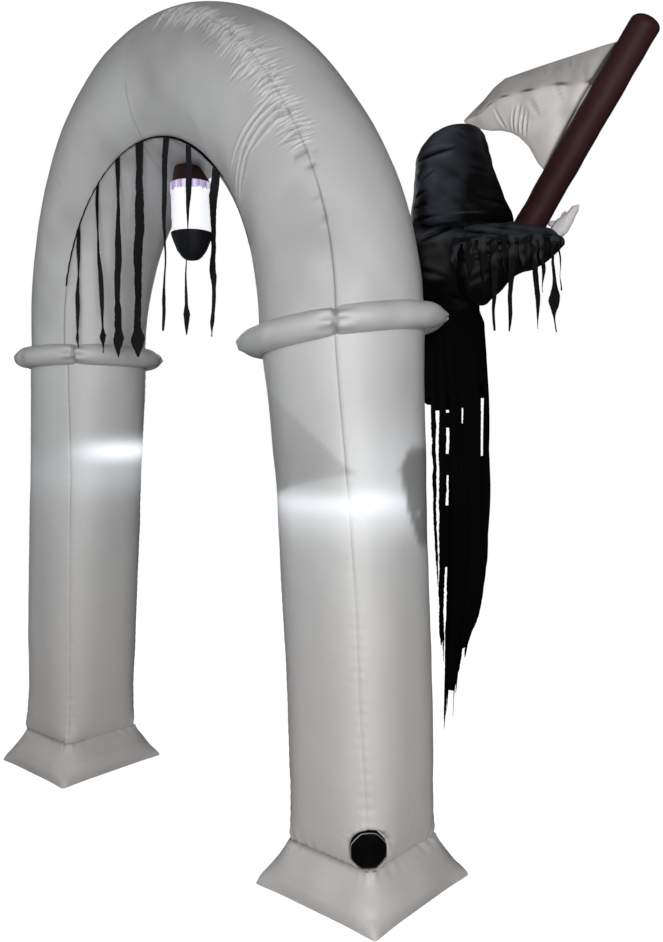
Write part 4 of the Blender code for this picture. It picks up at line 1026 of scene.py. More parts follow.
roll_bend = ring_turns(18)
roll = port_rings(INLET_RADIUS + 0.0011 * np.cos(roll_bend), 0.2110 + 0.0026 * np.sin(roll_bend))
roll = roll + INLET_FACING * (0.0008 * np.sin(port_turn * 23.0))[None, :, None]
# Painted light: the pale roll is darkened all round as shade, except on a broken arc at its upper left, a
# painted highlight.
lit_arc_place = bell(turn_gap(np.degrees(port_turn), 125.0), 0.0, 62.0)
rim_painted_light = 0.95 - 0.75 * lit_arc_place * (0.75 + 0.25 * jagged(PORT_COLUMNS, 52, 6))
roll_grid = {"caps": False, "loop": True, "marks": {"fold": np.clip(rim_painted_light, 0.0, 1.0)}}
puffed("port_roll", roll, pale_nylon, "pale_nylon", "inlet_rim", 0.7, **roll_grid)

SLOT_PITCH = 0.0052
guard_radius = np.concatenate([[0.0514, 0.0514], np.linspace(0.0510, 0.0004, 70)])
slots = 0.5 + 0.5 * np.cos(guard_radius * 2.0 * math.pi / SLOT_PITCH)
guard_depth = np.concatenate([[0.184], 0.2085 - 0.0022 * slots[1:]])
# Painted shade: the slots are darker, for the dark inside that would show through them.
guard = grid_mesh("port_guard", port_rings(guard_radius, guard_depth), marks={"fold": 0.9 * slots[:, None]})
GUARD_BLACK = (0.004, 0.004, 0.004)
GUARD_SHADE = (0.003, 0.003, 0.003)
GUARD_SLOT_SHADE = (0.001, 0.001, 0.001)
guard_plastic = nylon("guard plastic", GUARD_BLACK, GUARD_SHADE, GUARD_SLOT_SHADE, 0.6, 0.1, shine=0.04)
place("port_guard", guard, guard_plastic, "inlet_guard")

# %% [markdown]
# ## The lantern
# A lantern hangs under the crown: a puffed cap, a gathered frill, a lit globe and a bowl. All four are turned
# forms, so a radius and a height for each row are enough. A Screw modifier could turn them too, but here the
# radius also changes round the form, where gores and gathers pull it in and out.

# %% Lantern
LanternRing = namedtuple("LanternRing", "height radius shift")
CAP_RINGS = (
    LanternRing(2.1802, 0.0560, 0.000),
    LanternRing(2.1810, 0.0650, 0.000),
    LanternRing(2.1860, 0.0655, -0.001),
    LanternRing(2.2050, 0.0590, -0.006),
    LanternRing(2.2240, 0.0515, -0.013),
    LanternRing(2.2360, 0.0465, -0.018),
    LanternRing(2.2420, 0.0420, -0.020),
)
BOWL_RINGS = (
    LanternRing(1.9200, 0.0040, 0.0),
    LanternRing(1.9240, 0.0230, 0.0),
    LanternRing(1.9350, 0.0370, 0.0),
    LanternRing(1.9560, 0.0510, 0.0),
    LanternRing(1.9850, 0.0630, 0.0),
    LanternRing(2.0060, 0.0705, 0.0),
    LanternRing(2.0123, 0.0715, 0.0),
)


def turned_form(table, gores, depth, seed):
    """Turned form: rings from a table, the radius less a cosine power along even gores, a little uneven."""
    share, (height, radius, shift) = rows_between(table, 40)
    turn = ring_turns(120)
    full = np.sin(math.pi * share)[:, None]
    radius = radius[:, None] - depth * np.abs(np.cos(gores * turn / 2.0)) ** 9.0 * full
    x = shift[:, None] + radius * np.cos(turn)
    rings = np.stack([x, radius * np.sin(turn), np.broadcast_to(height[:, None], radius.shape)], axis=2)
    return pushed(rings, 0.0012 * swell(rings, 0.05, seed) * full)


def glowing(name, colour, glow, strength, streaks):
    """Lit cloth: its own colour, brighter and paler in upright streaks."""
    made = nylon(name, colour, colour, colour, 0.5, 0.2)
    tree = made.node_tree
    shader = tree.nodes["Principled BSDF"]
    tree.links.remove(shader.inputs["Emission Strength"].links[0])
    where = tree.nodes.new("ShaderNodeTexCoord")
    aim = tree.nodes.new("ShaderNodeMapping")
    aim.inputs["Scale"].default_value = (1.0, 1.0, 0.12)
    link(tree, where.outputs["Object"], aim.inputs["Vector"])
    level = clouds(tree, aim.outputs["Vector"], streaks, 2.0, 0.35, 0.65)
    link(tree, mixed(tree, level, colour, glow), shader.inputs["Emission Color"])
    shader.inputs["Emission Strength"].default_value = strength
    return made


# %% Lantern pieces
CAP_BROWN = (0.030, 0.012, 0.012)
CAP_SHADE = (0.018, 0.008, 0.008)
CAP_FOLD = (0.006, 0.003, 0.003)
cap_nylon = nylon("brown black nylon", CAP_BROWN, CAP_SHADE, CAP_FOLD, 0.5, 0.3, shine=0.3)
cap = turned_form(CAP_RINGS, 6, 0.003, 91)
bowl = turned_form(BOWL_RINGS, 6, 0.002, 92)
puffed("lantern_cap_skin", cap, cap_nylon, "brown_black_nylon", "lantern_cap", 0.8, marks={"fold": 0.0})
puffed("lantern_bowl_skin", bowl, black_nylon, "black_nylon", "lantern_bowl", 0.8, marks={"fold": 0.85})

GLOBE_LOW, GLOBE_HEIGHT = 2.0127, 0.1669
globe_rings = tuple(
    LanternRing(GLOBE_LOW + GLOBE_HEIGHT * at, 0.0670 + 0.0015 * math.sin(math.pi * at), 0.0)
    for at in np.linspace(0.0, 1.0, 24)
)
lit_cloth = glowing("lit globe", (0.80, 0.82, 0.88), (1.0, 1.0, 1.0), 0.62, 9.0)
globe = turned_form(globe_rings, 6, 0.0006, 93)
puffed("lantern_globe_skin", globe, lit_cloth, "clear_globe", "lantern_globe", 0.9)

FRILL_TOP = 2.1790
frill_turn = ring_turns(240)
frill_share = np.linspace(0.0, 1.0, 10)[:, None]
frill_wave = np.sin(14.0 * frill_turn + 0.8 * np.sin(3.0 * frill_turn))
frill_radius = 0.0705 + 0.0018 * frill_wave * (0.3 + frill_share)
torn_side = bell(turn_gap(np.degrees(frill_turn), 215.0), 0.0, 22.0)
hem = 0.025 + 0.008 * jagged(240, 94, 4, 0.5) + 0.018 * torn_side
frill_z = FRILL_TOP - frill_share * hem
frill = np.stack([frill_radius * np.cos(frill_turn), frill_radius * np.sin(frill_turn), frill_z], axis=2)
# The frill glows with painted light, the lantern's light through its cloth, paler in streaks.
violet = glowing("violet frill", (0.26, 0.20, 0.42), (0.92, 0.90, 1.0), 0.70, 60.0)
mesh = grid_mesh("lantern_frill_cloth", frill, caps=False)
frill_piece = thicken(place("lantern_frill_cloth", mesh, violet, "lantern_frill"), 0.0012)

# %% [markdown]
# ## The bearer's hood and torso
# Hood and torso are puffed black nylon. Both are stacks of ovals read from a short table, finer than the
# solids and with the folds of the photograph. They could be sculpted, but a stack of ovals keeps to the
# solids' sizes. The hood has a shallow dark hollow on the far side and no face.

# %% Oval stacks
Oval = namedtuple("Oval", "height x y half_x half_y")
TORSO = (
    Oval(1.412, 0.778, 0.385, 0.060, 0.035),
    Oval(1.440, 0.777, 0.385, 0.105, 0.055),
    Oval(1.520, 0.775, 0.392, 0.128, 0.070),
    Oval(1.620, 0.775, 0.394, 0.122, 0.070),
    Oval(1.700, 0.785, 0.380, 0.115, 0.090),
    Oval(1.780, 0.797, 0.335, 0.122, 0.133),
    Oval(1.860, 0.804, 0.322, 0.128, 0.146),
    Oval(1.915, 0.806, 0.320, 0.124, 0.140),
    Oval(1.940, 0.808, 0.325, 0.104, 0.117),
)
HOOD = (
    Oval(1.9402, 0.868, 0.345, 0.140, 0.130),
    Oval(1.958, 0.868, 0.345, 0.162, 0.151),
    Oval(1.985, 0.866, 0.345, 0.157, 0.148),
    Oval(2.040, 0.854, 0.345, 0.138, 0.136),
    Oval(2.110, 0.845, 0.345, 0.125, 0.126),
    Oval(2.160, 0.840, 0.345, 0.116, 0.117),
    Oval(2.205, 0.845, 0.345, 0.100, 0.099),
    Oval(2.232, 0.853, 0.345, 0.084, 0.082),
    Oval(2.247, 0.860, 0.345, 0.064, 0.060),
    Oval(2.254, 0.864, 0.345, 0.034, 0.032),
)


def oval_stack(table, rows, columns):
    """Ovals through a table's rows, softened by a running mean; gives the grid, its turns and its heights."""
    kernel = np.hanning(2 * max(rows // (3 * len(table)), 1) + 3)
    kernel /= kernel.sum()
    reach = len(kernel) // 2
    softened = []
    for field in rows_between(table, rows)[1]:
        before = 2 * field[0] - field[reach:0:-1]
        after = 2 * field[-1] - field[-2 : -reach - 2 : -1]
        padded = np.concatenate([before, field, after])
        softened.append(np.convolve(padded, kernel, mode="valid")[:, None])
    height, x, y, half_x, half_y = softened
    turn = ring_turns(columns)[None, :]
    height = height + 0.0 * turn
    points = np.stack([x + half_x * np.cos(turn), y + half_y * np.sin(turn), height], axis=2)
    return points, np.degrees(turn) + 0.0 * height, height


print(len(TORSO), "torso ovals,", len(HOOD), "hood ovals")

# %% [markdown]
# The camera sees the figure from -57 degrees, so distances across a fold are measured from that turn. The
# nylon's fold mark also carries painted shade: it darkens the sides that turn away, the lower hood, the hollow
# and the creases, as the deep black of the photograph does, and a lighter patch is a painted highlight.

# %% Hood
SEEN_FROM = -57.0
HOOD_FLOOR = 1.9402
HOLLOW_TURN = math.radians(75.0)
points, degrees, height = oval_stack(HOOD, 150, 192)
around = np.clip(1.0 - (turn_gap(degrees, 75.0) / 48.0) ** 2, 0.0, 1.0)
hollow = 0.045 * around * np.clip(1.0 - ((height - 2.090) / 0.115) ** 2, 0.0, 1.0)
points[..., 0] -= hollow * math.cos(HOLLOW_TURN)
points[..., 1] -= hollow * math.sin(HOLLOW_TURN)
hood_across = turn_gap(degrees, SEEN_FROM) * 0.0024
HOOD_CREASES = (
    Crease(-0.160, 2.150, 0.010, 2.166, 0.0120, 0.0085),
    Crease(-0.130, 2.080, -0.070, 2.104, 0.0060, 0.0055),
    Crease(-0.170, 2.040, -0.100, 2.050, 0.0050, 0.0060),
    Crease(-0.160, 1.966, -0.030, 1.958, 0.0060, 0.0065),
    Crease(-0.170, 2.010, -0.095, 2.004, 0.0040, 0.0060),
    Crease(0.020, 2.010, 0.180, 1.990, 0.0045, 0.0090),
    Crease(0.040, 2.110, 0.120, 2.085, 0.0030, 0.0080),
    Crease(-0.010, 2.225, 0.060, 2.190, 0.0030, 0.0070),
)
lift = creased(hood_across, height, HOOD_CREASES)
lift = lift + 0.0040 * swell(points, 0.13, 101) + 0.0009 * swell(points, 0.045, 102)
lift = lift * np.clip((2.262 - height) / 0.03, 0.0, 1.0)
points = pushed(points, lift)
points[..., 2] = np.maximum(points[..., 2], HOOD_FLOOR)
# Painted shade and highlight: darker on the side turned away, below, at the far left, in the creases and the
# hollow; lighter in one low patch.
dark = 0.06 + 0.84 * soft_step(hood_across + 0.005, 0.022) + 0.45 * soft_step(2.03 - height, 0.03)
dark = dark + 0.45 * soft_step(-0.105 - hood_across, 0.012) + np.clip(-lift / 0.012, 0.0, 0.8)
dark = dark - 0.35 * bell(hood_across, 0.085, 0.040) * bell(height, 1.985, 0.022) + 0.4 * (hollow > 0.02)
hood_shade_and_highlight = {"fold": np.clip(dark, 0.0, 1.0)}
puffed("hood_skin", points, black_nylon, "black_nylon", "hood", 0.75, marks=hood_shade_and_highlight)

# %% Torso
points, degrees, height = oval_stack(TORSO, 130, 144)
torso_across = turn_gap(degrees, SEEN_FROM) * 0.0023
TORSO_CREASES = (
    Crease(-0.055, 1.890, 0.055, 1.936, 0.0070, 0.0080),
    Crease(-0.120, 1.820, 0.040, 1.780, 0.0040, 0.0090),
    Crease(0.000, 1.740, 0.120, 1.700, 0.0040, 0.0080),
)
lift = creased(torso_across, height, TORSO_CREASES) + 0.0020 * swell(points, 0.10, 103) - 0.001
points = pushed(points, lift * np.clip((1.94 - height) / 0.02, 0.0, 1.0))
# Painted shade: nearly black all over and darker in the creases, with a paler band at the shoulder as a painted
# highlight.
dark = 1.0 - 0.42 * bell(height, 1.908, 0.026) + np.clip(-lift / 0.012, 0.0, 0.8)
torso_shade_and_highlight = {"fold": np.clip(dark, 0.0, 1.0)}
puffed("torso_skin", points, black_nylon, "black_nylon", "torso", 0.75, marks=torso_shade_and_highlight)

# %% [markdown]
# ## The sleeve
# The sleeve is a wide puffed tube along X that narrows to the cuff. Its sections stand on edge, one behind
# the other, and folds run from the shoulder to the cuff. A curve with a bevel would keep it round. Sections
# let it be tall and shallow, as it is.

# %% Sleeve
SleeveSection = namedtuple("SleeveSection", "x middle_z half_height y half_depth")
SLEEVE = (
    SleeveSection(0.879, 1.838, 0.111, 0.350, 0.090),
    SleeveSection(0.932, 1.836, 0.131, 0.352, 0.100),
    SleeveSection(0.971, 1.849, 0.109, 0.362, 0.093),
    SleeveSection(1.004, 1.868, 0.085, 0.373, 0.082),
    SleeveSection(1.045, 1.871, 0.073, 0.389, 0.073),
    SleeveSection(1.078, 1.871, 0.066, 0.402, 0.064),
    SleeveSection(1.112, 1.877, 0.049, 0.418, 0.050),
    SleeveSection(1.140, 1.884, 0.032, 0.431, 0.034),
    SleeveSection(1.158, 1.881, 0.012, 0.440, 0.014),
)
sleeve_x = np.linspace(SLEEVE[0].x, SLEEVE[-1].x, 130)
sleeve_z, sleeve_half_z, sleeve_y, sleeve_half_y = [
    read_smooth(SLEEVE, field, sleeve_x, 0.008)[:, None] for field in SleeveSection._fields[1:]
]
sleeve_turn = ring_turns(120)[None, :]
points = np.stack(
    [
        sleeve_x[:, None] + 0.0 * sleeve_turn,
        sleeve_y + sleeve_half_y * np.cos(sleeve_turn),
        sleeve_z + sleeve_half_z * np.sin(sleeve_turn),
    ],
    axis=2,
)
SLEEVE_CREASES = (
    Crease(0.890, 1.930, 1.020, 1.905, 0.0045, 0.0070),
    Crease(0.940, 1.880, 1.120, 1.880, 0.0040, 0.0065),
    Crease(0.900, 1.830, 1.060, 1.850, 0.0040, 0.0080),
    Crease(0.980, 1.935, 1.110, 1.905, 0.0030, 0.0050),
    Crease(0.930, 1.760, 1.000, 1.800, 0.0035, 0.0070),
)
facing_camera = np.cos(sleeve_turn) < 0.2
lift = creased(points[..., 0], points[..., 2], SLEEVE_CREASES) * facing_camera
lift = lift + 0.0022 * swell(points, 0.07, 105)
lift = lift * np.clip((SLEEVE[-1].x - points[..., 0]) / 0.02, 0.0, 1.0)
points = pushed(points, lift)
# Painted shade: the sleeve is paler along its top and darker below it and in its creases.
dark = 0.42 + 0.55 * soft_step(1.900 - points[..., 2], 0.010) + np.clip(-lift / 0.010, 0.0, 0.8)
sleeve_painted_shade = {"fold": np.clip(dark, 0.0, 1.0)}
puffed("sleeve_skin", points, black_nylon, "black_nylon", "sleeve", 0.7, marks=sleeve_painted_shade)

# %% [markdown]
# ## The torn trim
# A band of ragged cloth is sewn along the sleeve and hangs in tatters. It could be eleven sheets, but one
# grid keeps them joined at the band: it has a few columns for each tatter, and the cells between two tatters
# are left open below the band.

# %% Trim
TRIM_TOP = 1.897
TRIM_LINE = 0.5
TRIM_BAND = 0.012
TRIM_STANDOFF = 0.005
Tatter = namedtuple("Tatter", "left_x right_x tip_x bottom_z leaf")
TATTERS = (
    Tatter(0.912, 0.933, 0.906, 1.800, 0.000),
    Tatter(0.938, 0.968, 0.955, 1.775, 0.000),
    Tatter(0.977, 0.999, 0.990, 1.760, 0.000),
    Tatter(1.007, 1.026, 1.014, 1.619, 0.000),
    Tatter(1.034, 1.046, 1.040, 1.790, 0.000),
    Tatter(1.052, 1.069, 1.051, 1.617, 0.000),
    Tatter(1.076, 1.094, 1.085, 1.800, 0.000),
    Tatter(1.101, 1.115, 1.118, 1.622, 0.000),
    Tatter(1.122, 1.131, 1.127, 1.727, 0.000),
    Tatter(1.143, 1.148, 1.151, 1.614, 0.009),
    Tatter(1.156, 1.160, 1.162, 1.735, 0.000),
)


def torso_section(z):
    """Middle and half sizes of the torso at any height, straight between its ovals."""
    heights, *columns = zip(*TORSO)
    return [np.interp(z, heights, column) for column in columns]


def sleeve_front(x, z):
    """Y of cloth on the front of sleeve or torso, an oval's front, hung straight below the fullest point."""
    columns = SleeveSection._fields[1:]
    middle_z, half_height, y, half_depth = [read_smooth(SLEEVE, field, x) for field in columns]
    above = np.clip((z - middle_z) / half_height, 0.0, 0.98)
    on_sleeve = y - half_depth * np.sqrt(1.0 - above**2)
    body_x, body_y, body_half_x, body_half_y = torso_section(z)
    beside = np.clip((x - body_x) / body_half_x, 0.0, 1.0)
    body_front = body_y - body_half_y * np.sqrt(1.0 - beside**2) - 0.003
    on_body = np.where(beside < 1.0, body_front, on_sleeve)
    return np.minimum(on_sleeve, on_body) - TRIM_STANDOFF


# %% Trim cloth
rows, wide = 130, 5
trim_z = np.linspace(TRIM_TOP, min(tatter.bottom_z for tatter in TATTERS), rows)
trim = np.zeros((rows, wide * len(TATTERS), 3))
trim_painted_sheen = np.zeros(trim.shape[:2])
band_depth = TRIM_BAND + 0.012 * jagged(wide * len(TATTERS) - 1, 119, 2)
keep = np.arange(rows - 1)[:, None] < rows / (TRIM_TOP - trim_z[-1]) * band_depth
across = np.linspace(-1.0, 1.0, wide)
for number, tatter in enumerate(TATTERS):
    last = int(np.argmin(np.abs(trim_z - tatter.bottom_z)))
    band_z = TRIM_TOP - TRIM_BAND
    share = np.clip((band_z - trim_z) / (band_z - tatter.bottom_z), 0.0, 1.0)[:, None]
    middle = (tatter.left_x + tatter.right_x) / 2.0
    middle = middle + (tatter.tip_x - middle) * share + 0.002 * np.sin(11.0 * share + number) * share
    half = (tatter.right_x - tatter.left_x) / 2.0 * (1.0 - 0.88 * share**2)
    half = half + tatter.leaf * bell(share, 0.66, 0.13)
    fray = np.stack([jagged(rows, 120 + number, 8), jagged(rows, 140 + number, 8)], axis=1)
    fray = np.where(across < 0.0, fray[:, :1], fray[:, 1:]) * np.clip(share * 6.0, 0.0, 1.0)
    x = middle + half * across * (1.0 + 0.15 * fray)
    line = read_smooth(SLEEVE, "middle_z", x) + TRIM_LINE * read_smooth(SLEEVE, "half_height", x)
    z = np.minimum(line, TRIM_TOP) - (TRIM_TOP - trim_z[:, None]) * 0.4
    z = np.maximum(np.minimum(trim_z[:, None], z), tatter.bottom_z)
    y = sleeve_front(x, z) + 0.004 * share * np.sin(9.0 * share + number + across)
    crumple = 1.5 * swell(np.stack([x, y, z], axis=2), 0.050, 139)
    near_band = np.clip((z - 1.80) / 0.03, 0.0, 1.0)
    y = y - 0.0060 * np.clip(crumple + 0.8, 0.0, 2.0) * near_band
    block = slice(wide * number, wide * (number + 1))
    trim[:, block] = np.stack([x, y, z], axis=2)
    # Painted highlight: the trim is nearly black, paler on the ridges of its crumples near the band.
    trim_painted_sheen[:, block] = 0.90 - 0.45 * np.clip(2.0 * crumple - 0.4, 0.0, 1.0) * near_band
    keep[:last, block.start : block.stop - 1] = True
mesh = grid_mesh("sleeve_trim_cloth", trim, wrap=False, keep=keep, marks={"fold": trim_painted_sheen})
trim_piece = thicken(place("sleeve_trim_cloth", mesh, trim_cloth, "sleeve_trim"), CLOTH)

# %% [markdown]
# ## The robe
# The robe is one torn skirt. A yoke goes round the torso, and slits part it into rags that taper to their
# tips. It could be draped and then cut, but the tears are what shows, so the grid is laid out along them: it
# runs round the figure, each rag has its own columns, and the cells between two rags are closed only in the
# yoke and where the slit is bridged.

# %% Robe
ROBE_X, ROBE_Y = 0.771, 0.392
ROBE_HALF_X, ROBE_HALF_Y = 0.155, 0.087
ROBE_TOP, ROBE_FIRST, ROBE_LOW = 1.700, 1.665, 1.440
Taper = namedtuple("Taper", "height share")
ROBE_TAPER = (
    Taper(0.360, 0.36),
    Taper(0.500, 0.48),
    Taper(0.650, 0.60),
    Taper(0.730, 0.70),
    Taper(0.800, 0.80),
    Taper(0.920, 0.92),
    Taper(1.110, 0.98),
    Taper(1.440, 1.00),
)
Rag = namedtuple("Rag", "from_turn to_turn bottom sway narrow slit_top")
RAGS = (
    Rag(196.0, 226.0, 0.523, 3.0, 0.30, 1.440),
    Rag(230.0, 264.0, 0.640, 2.0, 0.25, 1.440),
    Rag(274.0, 279.0, 0.830, 3.0, 0.50, 1.395),
    Rag(286.0, 293.5, 0.640, -4.0, 0.95, 1.440),
    Rag(297.5, 314.0, 0.360, -16.0, 0.30, 1.395),
    Rag(317.0, 347.0, 0.410, -10.0, 0.15, 1.480),
    Rag(356.0, 395.0, 0.600, -18.0, 0.12, 1.440),
    Rag(414.0, 443.0, 0.470, -3.0, 0.25, 1.440),
    Rag(449.0, 463.0, 0.400, 2.0, 0.30, 1.395),
    Rag(470.0, 477.0, 0.560, -2.0, 0.40, 1.440),
    Rag(498.0, 526.0, 0.620, 4.0, 0.25, 1.440),
    Rag(530.0, 552.0, 0.560, 4.0, 0.25, 1.440),
)
Bridge = namedtuple("Bridge", "after_rag top bottom")
ROBE_BRIDGES = (
    Bridge(3, 1.390, 1.340),
    Bridge(3, 1.260, 1.190),
    Bridge(3, 1.100, 0.900),
    Bridge(4, 1.350, 0.500),
    Bridge(5, 1.250, 0.640),
)


def robe_section(z):
    """Middle and half sizes of the skirt: on the torso at its top, then wider, then narrower to its tips."""
    worn = np.array(torso_section(np.maximum(z, ROBE_FIRST)))
    taper = np.interp(z, [taper.height for taper in ROBE_TAPER], [taper.share for taper in ROBE_TAPER])
    hung = np.stack([ROBE_X + 0.0 * z, ROBE_Y + 0.0 * z, ROBE_HALF_X * taper, ROBE_HALF_Y * taper])
    worn[2:] += 0.014 * np.clip((ROBE_TOP - z) / (ROBE_TOP - ROBE_FIRST), 0.0, 1.0)
    return worn + (hung - worn) * np.clip((ROBE_FIRST - z) / (ROBE_FIRST - ROBE_LOW), 0.0, 1.0)


# %% Robe cloth
rows, wide = 200, 9
robe_z = np.linspace(ROBE_TOP, min(rag.bottom for rag in RAGS), rows)[:, None]
robe = np.zeros((rows, wide * len(RAGS), 3))
keep = np.zeros((rows, wide * len(RAGS)), bool)
middle_x, middle_y, half_x, half_y = robe_section(robe_z)
across = np.linspace(-1.0, 1.0, wide)
for number, rag in enumerate(RAGS):
    fall = np.clip((rag.slit_top - robe_z) / (rag.slit_top - rag.bottom), 0.0, 1.0)
    half = (rag.to_turn - rag.from_turn) / 2.0 * (1.0 - (1.0 - rag.narrow) * fall**2)
    half = half * np.clip((1.0 - fall) / 0.06, 0.05, 1.0) ** 0.7
    fray = np.stack([jagged(rows, 160 + number, 6), jagged(rows, 180 + number, 6)], axis=1)
    fray = np.where(across < 0.0, fray[:, :1], fray[:, 1:]) * np.abs(across) * np.clip(fall * 9.0, 0.0, 1.0)
    turn = (rag.from_turn + rag.to_turn) / 2.0 + rag.sway * fall**2 + across * half + across * fray * 1.3
    wave = np.sin(0.16 * turn + 1.7 * number + 2.0 * np.sin(3.0 * fall))
    fold = 0.010 * wave * np.clip(fall * 3.0, 0.0, 1.0)
    below_yoke = np.clip((ROBE_FIRST - robe_z) / 0.1, 0.0, 1.0)
    fold = fold + 0.0035 * np.sin(0.47 * turn + 4.0 * robe_z) * below_yoke
    turn = np.radians(turn)
    x = middle_x + (half_x + fold) * np.cos(turn)
    y = middle_y + (half_y + fold) * np.sin(turn)
    start, stop = wide * number, wide * (number + 1)
    robe[:, start:stop] = np.stack([x, y, np.maximum(robe_z + 0.0 * turn, rag.bottom)], axis=2)
    keep[: int(np.argmin(np.abs(robe_z - rag.bottom))), start : stop - 1] = True
    keep[:, stop - 1] = robe_z[:, 0] > rag.slit_top + 0.004 * math.sin(5.0 * number)
for bridge in ROBE_BRIDGES:
    closed = (robe_z[:, 0] <= bridge.top) & (robe_z[:, 0] >= bridge.bottom)
    keep[closed, wide * (bridge.after_rag + 1) - 1] = True
mesh = grid_mesh("robe_cloth", robe, caps=False, keep=keep[:-1])
robe_piece = thicken(place("robe_cloth", mesh, torn_cloth, "robe"), CLOTH)

# %% [markdown]
# ## The scythe's pole
# The pole is a padded tube with a domed end. A cylinder with a sphere on it would show a joint, so one
# profile runs along the tube and over the dome, and fine ribs and one long seam are pushed into it.

# %% Pole
HELD_Y = 0.440
POLE_LOW_RADIUS, POLE_TOP_RADIUS, DOME_HEIGHT = 0.0455, 0.0425, 0.024
POLE_SEAM = 176.0
pole_low = np.array([1.035, HELD_Y, 1.927])
pole_top = np.array([1.396, HELD_Y, 2.431])
pole_length = np.linalg.norm(pole_top - pole_low)
pole_way = (pole_top - pole_low) / pole_length
pole_beside = np.array([pole_way[2], 0.0, -pole_way[0]])
dome = np.linspace(0.0, math.pi / 2.0, 18)
distance = np.concatenate([np.linspace(0.0, pole_length, 150)[:-1], pole_length + DOME_HEIGHT * np.sin(dome)])
size = np.concatenate([np.ones(149), np.maximum(np.cos(dome), 0.02)])[:, None]
taper = np.clip(distance / pole_length, 0.0, 1.0)[:, None]
radius = (POLE_LOW_RADIUS + (POLE_TOP_RADIUS - POLE_LOW_RADIUS) * taper) * size
turn = ring_turns(96)
from_seam = turn_gap(np.degrees(turn), POLE_SEAM)
circle = np.cos(turn)[:, None] * pole_beside + np.sin(turn)[:, None] * np.array([0.0, 1.0, 0.0])
points = pole_low + pole_way * distance[:, None, None] + circle * radius[..., None]
ribs = 0.0003 * np.sin(distance * 2.0 * math.pi / 0.034 + 1.2 * np.sin(distance * 20.0))[:, None]
lift = ribs * np.cos(turn * 2.0 + 0.6) + 0.0014 * swell(points, 0.09, 107)
lift = lift - 0.0022 * bell(from_seam, 0.0, 4.0)
points = pushed(points, lift * size)
RED = (0.046, 0.0175, 0.018)
RED_SHADE = (0.034, 0.012, 0.013)
RED_SEAM = (0.004, 0.001, 0.001)
red_nylon = nylon("dark red nylon", RED, RED_SHADE, RED_SEAM, 0.46, 0.2, shine=0.12)
pole_marks = {"fold": 0.8 * bell(from_seam, 0.0, 3.0)}
puffed("pole_skin", points, red_nylon, "dark_red_nylon", "scythe_pole", 0.9, marks=pole_marks)

# %% [markdown]
# ## The scythe's blade
# The blade is two panels sewn along their edges and quilted once along a ridge, so it is fullest between its
# seams and thin at its rim. It could be a flat shape blown up by a modifier. Here each crosswise line of the
# front panel is a sine between the two edges, and the back panel is its mirror image.

# %% Blade
BladeSection = namedtuple("BladeSection", "top_x top_z low_x low_z half_thickness")
BLADE = (
    BladeSection(1.347, 2.407, 1.115, 2.079, 0.020),
    BladeSection(1.284, 2.410, 1.078, 2.124, 0.029),
    BladeSection(1.202, 2.409, 1.047, 2.180, 0.033),
    BladeSection(1.099, 2.408, 1.017, 2.214, 0.033),
    BladeSection(1.017, 2.406, 0.986, 2.237, 0.031),
    BladeSection(0.966, 2.404, 0.950, 2.252, 0.028),
    BladeSection(0.930, 2.388, 0.914, 2.260, 0.023),
    BladeSection(0.889, 2.357, 0.886, 2.270, 0.017),
    BladeSection(0.850, 2.334, 0.851, 2.287, 0.010),
    BladeSection(0.820, 2.314, 0.822, 2.305, 0.004),
)
RIM = 0.0018
to_tip, edges = rows_between(BLADE, 130)
top_x, top_z, low_x, low_z, thick = [edge[:, None] for edge in edges]
share = (1.0 - np.cos(np.linspace(0.0, math.pi, 49)))[None, :] / 2.0
line_x = top_x + (low_x - top_x) * share
line_z = top_z + (low_z - top_z) * share
ridge = 0.30 + 0.20 * to_tip[:, None]
puff = RIM + (thick - RIM) * np.sin(math.pi * share) ** 0.7
puff = puff - 0.0045 * bell(share, ridge, 0.022) * np.clip(puff / 0.02, 0.0, 1.0)
front_grid = np.stack([line_x, HELD_Y - puff, line_z], axis=2)
BLADE_CREASES = (
    Crease(1.012, 2.300, 0.996, 2.222, 0.0080, 0.0038),
    Crease(1.036, 2.310, 1.008, 2.216, 0.0095, 0.0040),
    Crease(1.046, 2.290, 1.024, 2.208, 0.0080, 0.0036),
    Crease(1.060, 2.282, 1.040, 2.200, 0.0060, 0.0036),
    Crease(0.940, 2.318, 0.976, 2.244, 0.0045, 0.0040),
    Crease(1.060, 2.320, 1.100, 2.250, 0.0040, 0.0065),
    Crease(1.140, 2.350, 1.175, 2.270, 0.0035, 0.0070),
    Crease(1.230, 2.380, 1.240, 2.300, 0.0035, 0.0070),
    Crease(1.100, 2.405, 1.115, 2.360, 0.0030, 0.0050),
    Crease(1.180, 2.408, 1.190, 2.365, 0.0025, 0.0050),
)
wrinkle = creased(line_x, line_z, BLADE_CREASES) + 0.0016 * swell(front_grid, 0.08, 109)
wrinkle = wrinkle * np.clip(np.sin(math.pi * share) * 3.0, 0.0, 1.0)
front_grid[..., 1] -= wrinkle
back_grid = front_grid[:, ::-1].copy()
back_grid[..., 1] = 2.0 * HELD_Y - back_grid[..., 1] + 0.0006
blade_points = np.concatenate([front_grid, back_grid], axis=1)
from_pole = np.abs((line_x - pole_low[0]) * pole_beside[0] + (line_z - pole_low[2]) * pole_beside[2])
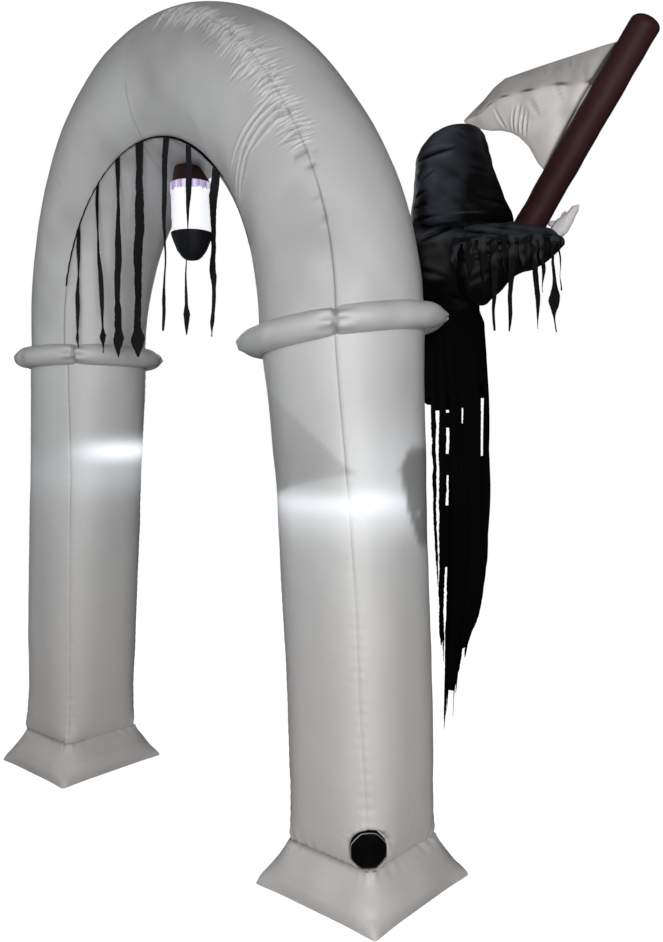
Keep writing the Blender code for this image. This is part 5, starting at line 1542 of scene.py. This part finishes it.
# Seam lines at the ridge and the rim, painted shade in the creases and along the pole, and darker above the
# ridge.
blade_seams_and_shade = 0.75 * bell(share, ridge, 0.008) + np.clip(-wrinkle / 0.010, 0.0, 0.4)
blade_seams_and_shade = blade_seams_and_shade + 0.35 * bell(np.minimum(share, 1.0 - share), 0.0, 0.006)
blade_seams_and_shade = blade_seams_and_shade + 0.46 * soft_step(ridge - share, 0.012) + 0.95 * bell(from_pole, 0.045, 0.0065)
blade_marks = {"fold": np.concatenate([blade_seams_and_shade, blade_seams_and_shade[:, ::-1]], axis=1)}
BONE = (0.90, 0.875, 0.855)
BONE_SHADE = (0.72, 0.70, 0.68)
BONE_SEAM_AND_SHADE = (0.07, 0.062, 0.060)
blade_nylon = nylon("blade nylon", BONE, BONE_SHADE, BONE_SEAM_AND_SHADE, 0.5, 0.4)
puffed("blade_skin", blade_points, blade_nylon, "blade_nylon", "scythe_blade", 0.8, marks=blade_marks)

# %% [markdown]
# ## The hand
# The hand is a stuffed white glove: one long group of fingers, a thumb and a curled finger. Metaballs would
# melt them into one, so each is its own tube of ovals that narrows to its tip.

# %% Hand
FingerRing = namedtuple("FingerRing", "x z half_width half_depth")
FINGERS = {
    "palm": (
        FingerRing(1.115, 1.893, 0.0180, 0.0160),
        FingerRing(1.136, 1.910, 0.0240, 0.0190),
        FingerRing(1.154, 1.926, 0.0260, 0.0190),
        FingerRing(1.170, 1.941, 0.0210, 0.0170),
        FingerRing(1.183, 1.955, 0.0140, 0.0130),
        FingerRing(1.197, 1.970, 0.0115, 0.0110),
        FingerRing(1.207, 1.978, 0.0030, 0.0030),
    ),
    "thumb": (
        FingerRing(1.152, 1.931, 0.0090, 0.0090),
        FingerRing(1.158, 1.950, 0.0085, 0.0085),
        FingerRing(1.163, 1.961, 0.0075, 0.0075),
        FingerRing(1.165, 1.969, 0.0020, 0.0020),
    ),
    "curled": (
        FingerRing(1.156, 1.923, 0.0100, 0.0100),
        FingerRing(1.135, 1.937, 0.0095, 0.0095),
        FingerRing(1.119, 1.939, 0.0080, 0.0080),
        FingerRing(1.111, 1.938, 0.0030, 0.0030),
    ),
}
glove_nylon = nylon("glove nylon", (0.80, 0.79, 0.80), (0.70, 0.67, 0.68), (0.30, 0.24, 0.24), 0.5, 0.4)


FINGER_ROWS = 40


def finger_points(table):
    """Tube of ovals through a table's rows, each square to the line through their middles."""
    x, z, half_width, half_depth = rows_between(table, FINGER_ROWS)[1]
    turn = ring_turns(48)
    way = np.stack([np.gradient(x), np.gradient(z)], axis=1)
    way = way / np.linalg.norm(way, axis=1, keepdims=True)
    side = np.cos(turn) * half_width[:, None]
    y = HELD_Y + np.sin(turn) * half_depth[:, None]
    return np.stack([x[:, None] + side * way[:, 1:], y, z[:, None] - side * way[:, :1]], axis=2)


cuff_dark = np.clip(0.35 - np.arange(FINGER_ROWS) / 30.0, 0.0, 1.0)[:, None]
for number, (part, table) in enumerate(FINGERS.items()):
    points = finger_points(table)
    points = pushed(points, 0.0010 * swell(points, 0.025, 111 + number))
    puffed("glove_" + part, points, glove_nylon, "glove_nylon", "hand", 0.8, marks={"fold": cuff_dark})
